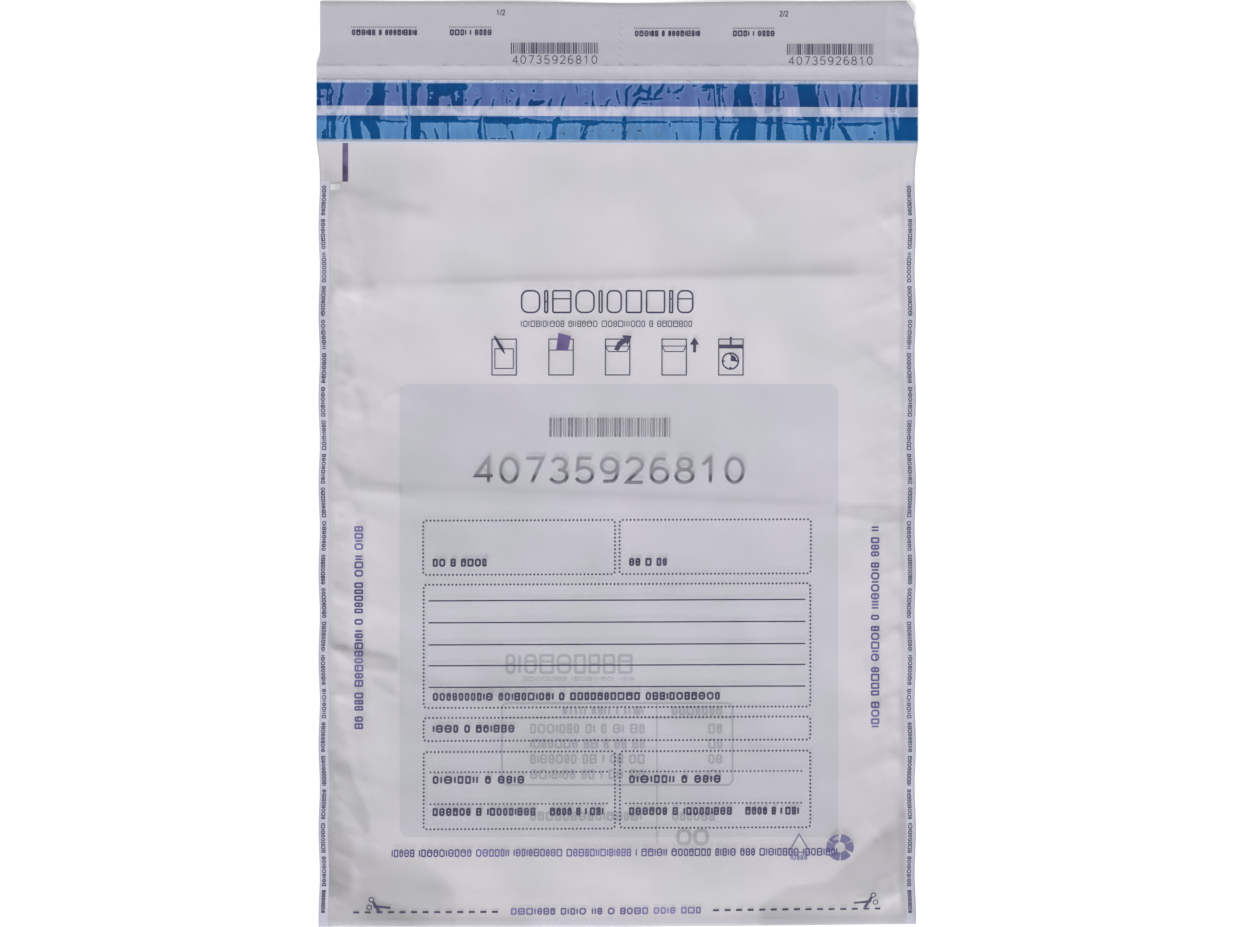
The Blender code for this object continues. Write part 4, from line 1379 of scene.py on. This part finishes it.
def print_icons(ink):
    """Five small pictures of how the envelope is filled, closed and opened."""
    for left in (95.3, 126.4, 157.3, 188.2, 219.2):
        right = left + 13.3
        ink.stroke(((left, 184.6), (right, 184.6), (right, 204.2), (left, 204.2)), 0.6, closed=True)
    # First: a pen that writes on the field
    ink.stroke(((96.9, 189.9), (107.0, 189.9), (107.0, 200.6), (96.9, 200.6)), 0.52, closed=True)
    tip = (102.6, 193.2)
    ink.ribbon(((96.2, 183.2), (99.5, 189.6), tip), ((97.2, 182.8), (101.3, 188.8), tip))
    # Second: the line of its mouth
    ink.stroke(((126.4, 190.6), (139.7, 190.6)), 0.5)
    # Third and fourth: the folded flap
    for left in (157.3, 188.2):
        flap = ((left, 188.4), (left + 13.3, 188.4), (left + 11.6, 191.4), (left + 1.7, 191.4))
        ink.stroke(flap, 0.5, closed=True)
    # Third: an arrow to the upper right
    upper = ((162.0, 190.4), (164.0, 186.2), (167.6, 183.9))
    lower = ((164.4, 191.0), (166.0, 188.2), (168.8, 186.4))
    ink.ribbon(upper, lower)
    ink.ribbon(((166.4, 182.5), (171.2, 182.8)), ((169.4, 188.0), (171.6, 183.1)))
    # Beside the fourth: an arrow upwards
    ink.bar(205.2, 187.2, 206.8, 191.8)
    ink.ribbon(((203.4, 187.6), (205.8, 183.9)), ((208.5, 187.6), (206.1, 183.9)))
    # Fifth: the closed band and a dial
    ink.bar(219.2, 187.6, 232.5, 189.7)
    ink.bar(225.2, 183.4, 226.3, 187.6)
    dial = (225.6, 196.6)
    ink.stroke(arc(dial, (4.4, 4.4), 0, 360, 20)[:-1], 0.8, closed=True)
    ink.ribbon(arc(dial, (3.4, 3.4), -85, 5, 6), arc(dial, (0.3, 0.3), -85, 5, 6))
    for x, y in ((3.6, 0.0), (0.0, 3.6), (-3.6, 0.0), (0.0, -3.6)):
        ink.dot(dial[0] + x, dial[1] + y, 0.55)


def print_margin(ink):
    """Labels up the sides, the notice and the label of the cutting line."""
    upright = (2, 3, 9, 1, 5, 4, 4)
    label(ink, 20.2, 25.0, 285.5, 397.1, upright, 41, 0.2, "up")
    label(ink, 302.3, 306.9, 287.5, 398.0, upright, 42, 0.2, "down")
    notice = (5, 10, 7, 10, 14, 1, 6, 7, 5, 3, 8, 8)
    label(ink, 40.5, 284.5, 463.0, 467.2, notice, 43, 0.17)
    label(ink, 105.6, 210.1, 495.4, 499.2, (7, 5, 3, 1, 4, 4, 3), 44, 0.21)


def print_cut_line(ink):
    """Dashes and scissors along the foot."""
    scissors(ink, 25.9, 488.8, flip=False)
    scissors(ink, 293.4, 487.6, flip=True)
    for left, right in ((19.4, 99.6), (216.1, 307.5)):
        place = left
        while place < right:
            ink.bar(place, 496.9, min(place + DASH, right), 498.0)
            place += DASH_PITCH


def scissors(ink, left, top, flip):
    """Open scissors: two blades that cross and two finger loops."""

    def at(u, v):
        return (left + (13.7 - u if flip else u), top + v)

    ink.ribbon(between(at(4.4, 4.5), at(14.0, 5.7), 10), between(at(4.8, 6.1), at(14.0, 6.8), 10))
    ink.ribbon(between(at(3.7, 2.9), at(7.2, 9.2), 10), between(at(5.1, 2.6), at(8.9, 8.9), 10))
    for u, v in ((3.5, 1.6), (2.3, 5.9)):
        ink.stroke([at(*point) for point in arc((u, v), (1.35, 1.3), 0, 360, 12)[:-1]], 0.5, True)


def edge_print(ink):
    """Tiny type that runs along both welds, at an even distance from the wavering edges."""
    sides = zip((left_edge, right_edge), (1, -1), EDGE_TYPE_INSETS, EDGE_TYPE_WEIGHTS)
    for edge, side, inset, weight in sides:

        def place(along, up):
            down = start + along
            near = across_at(edge(sheet_y(down)))
            return (near + side * (inset + EDGE_TYPE_HEIGHT - up), down)

        for word in range(EDGE_TYPE_COUNT):
            start = EDGE_TYPE_START + word * EDGE_TYPE_PITCH
            length = min(EDGE_TYPE_WORD, EDGE_TYPE_END - start)
            words(ink, place, length, EDGE_TYPE_HEIGHT, (9,), word, weight)


def print_back(ink):
    """Print on the back panel: a title and a table of sizes."""
    label(ink, 102.6, 173.6, 356.8, 367.6, (9,), 90, 0.13)
    label(ink, 112.0, 173.6, 369.2, 371.4, (7, 9, 4), 92, 0.2)
    ink.stroke(rounded(100.7, 383.6, 226.8, 428.4, 3.0), 0.9, closed=True)
    ink.bar(185.2, 384.1, 185.8, 461.2)
    ink.bar(101.2, 391.4, 226.3, 392.0)
    label(ink, 193.5, 222.0, 385.3, 390.3, (7,), 60, 0.24)
    label(ink, 134.0, 179.5, 385.3, 390.3, (6, 5, 1, 5), 70, 0.24)
    for row, down in enumerate((397.6, 405.8, 414.2, 422.6)):
        top, bottom = down - 2.7, down + 2.7
        label(ink, 213.5, 222.0, top, bottom, (2,), 61 + row, 0.2)
        label(ink, 116.0, 179.5, top, bottom, (7, 2, 1, 2, 2), 71 + row, 0.2)
    label(ink, 116.0, 177.8, 443.0, 448.0, (15,), 80)
    label(ink, 193.7, 217.8, 443.0, 448.0, (6,), 81)


def print_back_mark(ink):
    """Heavy size mark below the table."""
    for left, right in ((197.0, 203.6), (206.2, 213.0)):
        ink.stroke(rounded(left, 453.2, right, 460.6, 2.6), 2.0, closed=True)


def print_signs(ink):
    """Two recycling signs: a triangle, and three pairs of wedges round a ring."""
    ink.stroke(((263.2, 455.0), (269.0, 465.0), (257.4, 465.0)), 0.7, closed=True)
    label(ink, 258.4, 268.0, 466.4, 469.2, (5,), 91)
    centre = (285.4, 462.2)
    for turn in (-90, 30, 150):
        for side in (-1, 1):
            middle = turn + side * 32
            outer = arc(centre, (7.5, 7.3), middle - 25, middle + 25, 4)
            inner = arc(centre, (2.9, 2.9), middle - 34, middle + 20, 4)
            ink.ribbon(outer, inner)


def stroke_depth(across, down, strokes):
    """How deep each point lies inside the nearest stroke, in millimetres, below zero outside."""
    deepest = np.full_like(across, -FAR)
    for stroke in strokes:
        for start, end in zip(stroke, stroke[1:] or stroke):
            along, off_x, off_y = off_line(across, down, start, end)
            half = start[2] + (end[2] - start[2]) * along
            deepest = np.maximum(deepest, half - np.hypot(off_x, off_y))
    return deepest


def tape_tones(carrier, upper, stripe, lower, low_rim):
    """Stops of colour down the tape: clear edge, upper band, stripe, lower band, lower edge."""
    bounds = np.cumsum((TAPE_CARRIER, *TAPE_BANDS, TAPE_FOOT))
    places = [0.0, bounds[0] - TAPE_RIM, bounds[0] + TAPE_RIM]
    colors = [*carrier, upper[0]]
    for bound, above, below in ((bounds[1], upper[1], stripe[0]), (bounds[2], stripe[1], lower[0])):
        places += [bound - TAPE_SOFT, bound + TAPE_SOFT]
        colors += [above, below]
    places += [bounds[2] + drop for drop in TAPE_FADE]
    places += [bounds[3] - TAPE_RIM, bounds[3] + TAPE_SOFT]
    colors += [lower[1], lower[2], lower[3], low_rim]
    return [(place / bounds[4], color) for place, color in zip(places, colors)]


def tape_material():
    """Blue and white tape: dark where the liner clings to it, pale where the liner is raised."""
    made, shader = new_material("tape_bands", TAPE_ROUGHNESS)
    shader.inputs["Specular IOR Level"].default_value = TAPE_SHINE
    down = stored(made, "down")
    dry_tones = tape_tones(
        ((234, 232, 244), (226, 234, 250)),
        ((108, 136, 200), (110, 130, 196)),
        ((238, 234, 250), (232, 234, 252)),
        ((88, 133, 196), (96, 146, 212), (107, 168, 227), (103, 160, 215)),
        (196, 214, 236),
    )
    wet_tones = tape_tones(
        ((214, 222, 236), (186, 206, 230)),
        ((0, 84, 150), (8, 68, 134)),
        ((196, 202, 222), (182, 198, 228)),
        ((0, 81, 146), (0, 86, 150), (0, 93, 160), (0, 90, 155)),
        (160, 190, 214),
    )
    limits = {"From Min": -CLING_RANGE, "From Max": CLING_RANGE}
    masks = [map_range(made, stored(made, name), limits) for name in ("cling", "painted_glint")]
    black, white, grey = (0, 0, 0), (255, 255, 255), (150, 150, 150)
    halo = ramp(made, masks[0], tuple(zip(HALO_STOPS, (black, grey, black))))
    core = blend(made, masks[0], black, white, CLING_STOPS)
    # Mask of the painted highlights along the liner's raised folds
    painted_glint_mask = blend(made, masks[1], black, white, PAINTED_GLINT_STOPS)
    streaks = noise(made, TAPE_STREAKS, stretch=(1.0, 0.2, 1.0))
    fine = noise(made, TAPE_GRAIN, stretch=(1.0, 0.15, 1.0))
    dry = ramp(made, down, dry_tones)
    pale = blend(made, fine, (106, 168, 222), (146, 194, 236), (0.3, 0.6))
    lightened = mix_color(made, halo, dry, pale)
    toned = mix_color(made, core, lightened, ramp(made, down, wet_tones))
    # Painted highlight: pale blue where the liner's folds catch the light
    painted_glint = blend(made, fine, (84, 150, 216), (136, 180, 234), (0.3, 0.7))
    toned = mix_color(made, painted_glint_mask, toned, painted_glint)
    for tone, low in ((streaks, (232, 236, 242)), (fine, (238, 240, 246))):
        toned = multiply(made, toned, blend(made, tone, low, white, (0.35, 0.6)))
    link(made, toned, shader, "Base Color")
    bump(made, shader, streaks, STREAK_STRENGTH, STREAK_DEPTH)
    return made


def plate(name, x, y, low, high, material):
    """Thin plate with a fine grid on top, one flat face below and walls between them."""
    rows, columns = x.shape
    points = grid_points(x, y, np.full_like(x, high))
    faces = grid_faces(rows, columns)
    loop = [row * columns for row in range(rows - 1)]
    loop += [(rows - 1) * columns + column for column in range(columns - 1)]
    loop += [row * columns + columns - 1 for row in range(rows - 1, 0, -1)]
    loop += list(range(columns - 1, 0, -1))
    first = len(points)
    points += [(points[index][0], points[index][1], low) for index in loop]
    count = len(loop)
    for index, here in enumerate(loop):
        after = (index + 1) % count
        faces.append((loop[after], here, first + index, first + after))
    faces.append(tuple(range(first + count - 1, first - 1, -1)))
    piece = finish_piece(name, points, faces, [material], smooth_faces=False)
    return piece, loop


def make_tape():
    height = TAPE_CARRIER + sum(TAPE_BANDS) + TAPE_FOOT
    rows = round(height / TAPE_STEP) + 1
    columns = round(SHEET_WIDTH / TAPE_STEP) + 1
    nominal = np.linspace(0, height, rows)
    y = np.repeat((TAPE_HIGH.y + (TAPE_CARRIER - nominal) * MM)[:, None], columns, axis=1)
    x = left_edge(y) + (right_edge(y) - left_edge(y)) * np.linspace(0, 1, columns)
    y = y + edge_shift(x, y)
    piece, loop = plate(
        "closure_tape_bands", x, y, TAPE_LOW.z, TAPE_HIGH.z, tape_material()
    )
    across = across_at(x)
    down = down_at(y)
    wobble = sum(
        CLING_WOBBLE * waves(across, down, seed, *pitches)
        for seed, pitches in zip((61, 62), WOBBLE_PITCHES)
    )
    # Where the liner clings, and where highlights are painted on the tape
    fields = {
        "cling": stroke_depth(across, down, CLINGS) + wobble,
        "painted_glint": stroke_depth(across, down, PAINTED_GLINTS) + wobble / 2,
        "down": np.repeat((nominal / height)[:, None], columns, axis=1),
    }
    for name, values in fields.items():
        values = values.ravel()
        set_values(piece, name, np.concatenate([values, values[loop]]))
    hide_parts("closure_tape")
    number = Ink(lambda x, y: TAPE_HIGH.z + INK_LIFT)
    digits(number, SERIAL, *NUMBER_STRIP, 0.62, 0.7)
    number.piece("tape_number", ink_material("ink_tape", (98, 140, 186), (104, 150, 198)))


def make_liner():
    """Clear strip over the tape, with low blisters where it stands off."""
    made, shader = new_material("liner_film", LINER_ROUGHNESS, LINER_ALPHA)
    tone = blend(made, noise(made, LINER_CLOUDS), (8, 34, 66), (30, 64, 100), (0.3, 0.7))
    link(made, tone, shader, "Base Color")
    bump(made, shader, noise(made, LINER_DENTS), LINER_DENT_STRENGTH, LINER_DENT_DEPTH)
    columns = round(SHEET_WIDTH / LINER_STEP)
    rows = round((LINER_HIGH.y - LINER_LOW.y) / MM / LINER_STEP)
    y = np.linspace(LINER_HIGH.y, LINER_LOW.y, rows + 1)
    share, y = np.meshgrid(np.linspace(0, 1, columns + 1), y)
    x = left_edge(y) + (right_edge(y) - left_edge(y)) * share
    z = LINER_HIGH.z + BLISTER_RISE * np.maximum(waves(x, y, 71, *BLISTER_PITCHES), 0)
    y = y + edge_shift(x, y)
    piece = finish_piece(
        "liner_strip", grid_points(x, y, z), grid_faces(*x.shape), [made]
    )
    thicken(piece, LINER_HIGH.z - LINER_LOW.z)
    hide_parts("release_liner")


def print_card(ink):
    """Card that goes into the envelope of the second small picture."""
    ink.ribbon(between((131.6, 181.2), (130.4, 190.6)), between((138.4, 183.0), (136.8, 191.0)))


def print_number(ink):
    """The large number and the bars above it."""
    digits(ink, SERIAL, 86.4, 232.5, NUMBER_TOP, NUMBER_BOTTOM, 0.68, 1.8)
    barcode(ink, 126.7, 192.6, BARCODE_TOP, 238.0, 9)


def make_prints(front_height, back_height):
    """Every printed piece of film, on the surface whose height is given."""

    def sign_height(x, y):
        return front_height(x, y) - SIGN_DROP

    def inside_height(x, y):
        return back_height(x, y) + FILM + INK_LIFT

    def outside_height(x, y):
        return back_height(x, y) - 2 * INK

    dark = ink_material("ink_dark", (50, 48, 78), (74, 72, 100))
    violet = ink_material("ink_violet", (52, 50, 104), (118, 108, 168), scale=16.0)
    navy = ink_material("ink_navy", (34, 32, 66), (58, 54, 94))
    fine = ink_material("ink_edge", (22, 24, 48), (56, 54, 92), scale=16.0)
    sign = ink_material("ink_sign", (106, 104, 144), (124, 122, 160))
    bar = ink_material("ink_bar", (60, 50, 84), (120, 108, 150), scale=60.0)
    pale = ink_material("ink_pale", (211, 210, 213), (218, 217, 220))
    card = ink_material("ink_card", (92, 76, 128), (112, 96, 148))
    grey = number_material()
    back_ink = ink_material("ink_back", (40, 38, 66), (54, 52, 80))
    ghost = ink_material("ink_ghost", (40, 40, 70), (54, 54, 84))
    dark_ghost = ink_material("ink_dark_ghost", (8, 8, 16), (14, 14, 24))
    prints = (
        ("form_print", dark, front_height, PRINT_TILT, (print_form,)),
        ("receipt_print", dark, front_height, 0, (print_receipts,)),
        ("title_and_icons", dark, front_height, 0, (print_title, print_icons)),
        ("margin_print", violet, front_height, PRINT_TILT, (print_margin,)),
        ("cut_line", navy, front_height, PRINT_TILT, (print_cut_line,)),
        ("edge_print", fine, front_height, 0, (edge_print,)),
        ("signs", sign, sign_height, 0, (print_signs,)),
        ("violet_bar", bar, front_height, 0, (lambda ink: ink.bar(*VIOLET_BAR),)),
        ("pale_patch", pale, front_height, 0, (lambda ink: ink.bar(*PALE_PATCH),)),
        ("card_print", card, front_height, 0, (print_card,)),
        ("number_print", grey, front_height, 0, (print_number,)),
        ("back_print_inside", ghost, inside_height, 0, (print_back,)),
        ("back_mark_inside", dark_ghost, inside_height, 0, (print_back_mark,)),
        ("back_print_outside", back_ink, outside_height, 0, (print_back, print_back_mark)),
    )
    for name, material, height_of, tilt, drawings in prints:
        ink = Ink(height_of, tilt)
        for drawing in drawings:
            drawing(ink)
        ink.piece(name, material)


def make_stage():
    """White floor that looks white to the camera and through the film."""
    floor_mesh = bpy.data.meshes.new("floor")
    corners = [
        (x * FLOOR_SIZE, y * FLOOR_SIZE, FLOOR_LEVEL) for x, y in ((-1, -1), (1, -1), (1, 1), (-1, 1))
    ]
    floor_mesh.from_pydata(corners, [], [(0, 1, 2, 3)])
    floor = bpy.data.objects.new("floor", floor_mesh)
    bpy.context.scene.collection.objects.link(floor)
    made = bpy.data.materials.new("floor_white")
    made.use_nodes = True
    nodes = made.node_tree.nodes
    nodes.clear()
    output = add_node(made, "ShaderNodeOutputMaterial")
    diffuse = add_node(made, "ShaderNodeBsdfDiffuse", {"Color": FLOOR_COLOR})
    rays = add_node(made, "ShaderNodeLightPath")
    seen = rays.outputs["Is Camera Ray"]
    for name in ("Is Glossy Ray", "Is Transmission Ray"):
        seen = add_node(
            made, "ShaderNodeMath", {0: seen, 1: rays.outputs[name]}, operation="MAXIMUM"
        ).outputs[0]
    glow = add_node(made, "ShaderNodeEmission", {"Color": FLOOR_GLOW, "Strength": seen})
    total = add_node(made, "ShaderNodeAddShader")
    made.node_tree.links.new(diffuse.outputs[0], total.inputs[0])
    made.node_tree.links.new(glow.outputs[0], total.inputs[1])
    made.node_tree.links.new(total.outputs[0], output.inputs["Surface"])
    floor_mesh.materials.append(made)


def make_light():
    """Even light from the sky and a wide soft sun."""
    world = bpy.data.worlds.new("soft_light")
    world.use_nodes = True
    background = world.node_tree.nodes["Background"]
    background.inputs["Color"].default_value = (1.0, 1.0, 1.0, 1.0)
    background.inputs["Strength"].default_value = WORLD
    bpy.context.scene.world = world
    lamp = bpy.data.lights.new("key", "SUN")
    lamp.energy = SUN
    lamp.angle = math.radians(SUN_ANGLE)
    holder = bpy.data.objects.new("key", lamp)
    elevation, azimuth = math.radians(SUN_ELEVATION), math.radians(SUN_AZIMUTH)
    level = math.cos(elevation)
    toward = Vector((level * math.cos(azimuth), level * math.sin(azimuth), math.sin(elevation)))
    holder.rotation_mode = "QUATERNION"
    holder.rotation_quaternion = toward.to_track_quat("Z", "Y")
    bpy.context.scene.collection.objects.link(holder)


def make_camera():
    """Camera straight above, at the photograph's framing."""
    metres_per_pixel = WIDTH / (OBJECT_RIGHT - OBJECT_LEFT)
    data = bpy.data.cameras.new("camera")
    data.sensor_width = SENSOR
    data.lens = SENSOR * CAMERA_HEIGHT / (metres_per_pixel * PHOTO_WIDTH)
    camera = bpy.data.objects.new("camera", data)
    shift_x = (PHOTO_WIDTH / 2 - (OBJECT_LEFT + OBJECT_RIGHT) / 2) * metres_per_pixel
    shift_y = ((OBJECT_TOP + OBJECT_BOTTOM) / 2 - PHOTO_HEIGHT / 2) * metres_per_pixel
    camera.location = (shift_x, shift_y, CAMERA_HEIGHT)
    bpy.context.scene.collection.objects.link(camera)
    bpy.context.scene.camera = camera


def height_on(tree, x, y):
    """Height of the highest surface at a place."""
    return tree.ray_cast(Vector((x, y, 1.0)), Vector((0, 0, -1)))[0].z


def main():
    bpy.context.scene.view_settings.view_transform = "Standard"
    writing = (WRITING_FIELD, WRITING_RADIUS, (198, 201, 206), (207, 204, 215))
    receipts = (RECEIPT_FIELD, 0.0, (182, 181, 195), (188, 187, 200))
    # Front, flap and back films carry the painted shade
    front_film = film_material(
        "film_front", (214, 214, 217), (225, 220, 228), FRONT_ALPHA, writing, with_painted_shade=True
    )
    flap_film = film_material(
        "film_flap", (195, 193, 205), (203, 201, 212), field=receipts, with_painted_shade=True
    )
    back_film = film_material("film_back", (208, 206, 213), (217, 215, 222), with_painted_shade=True)
    weld = film_material("film_weld", (194, 195, 212), (207, 208, 222))
    mouth = film_material("film_mouth", (200, 214, 240), (208, 222, 246))
    front = make_front([front_film, weld, mouth])
    flap = make_flap(flap_film)
    back = make_back([back_film, weld])

    def front_height(x, y):
        return height_on(front if y < MOUTH else flap, x, y) + INK_LIFT

    make_prints(front_height, lambda x, y: height_on(back, x, y))
    make_tape()
    make_liner()
    make_stage()
    make_light()
    make_camera()


main()
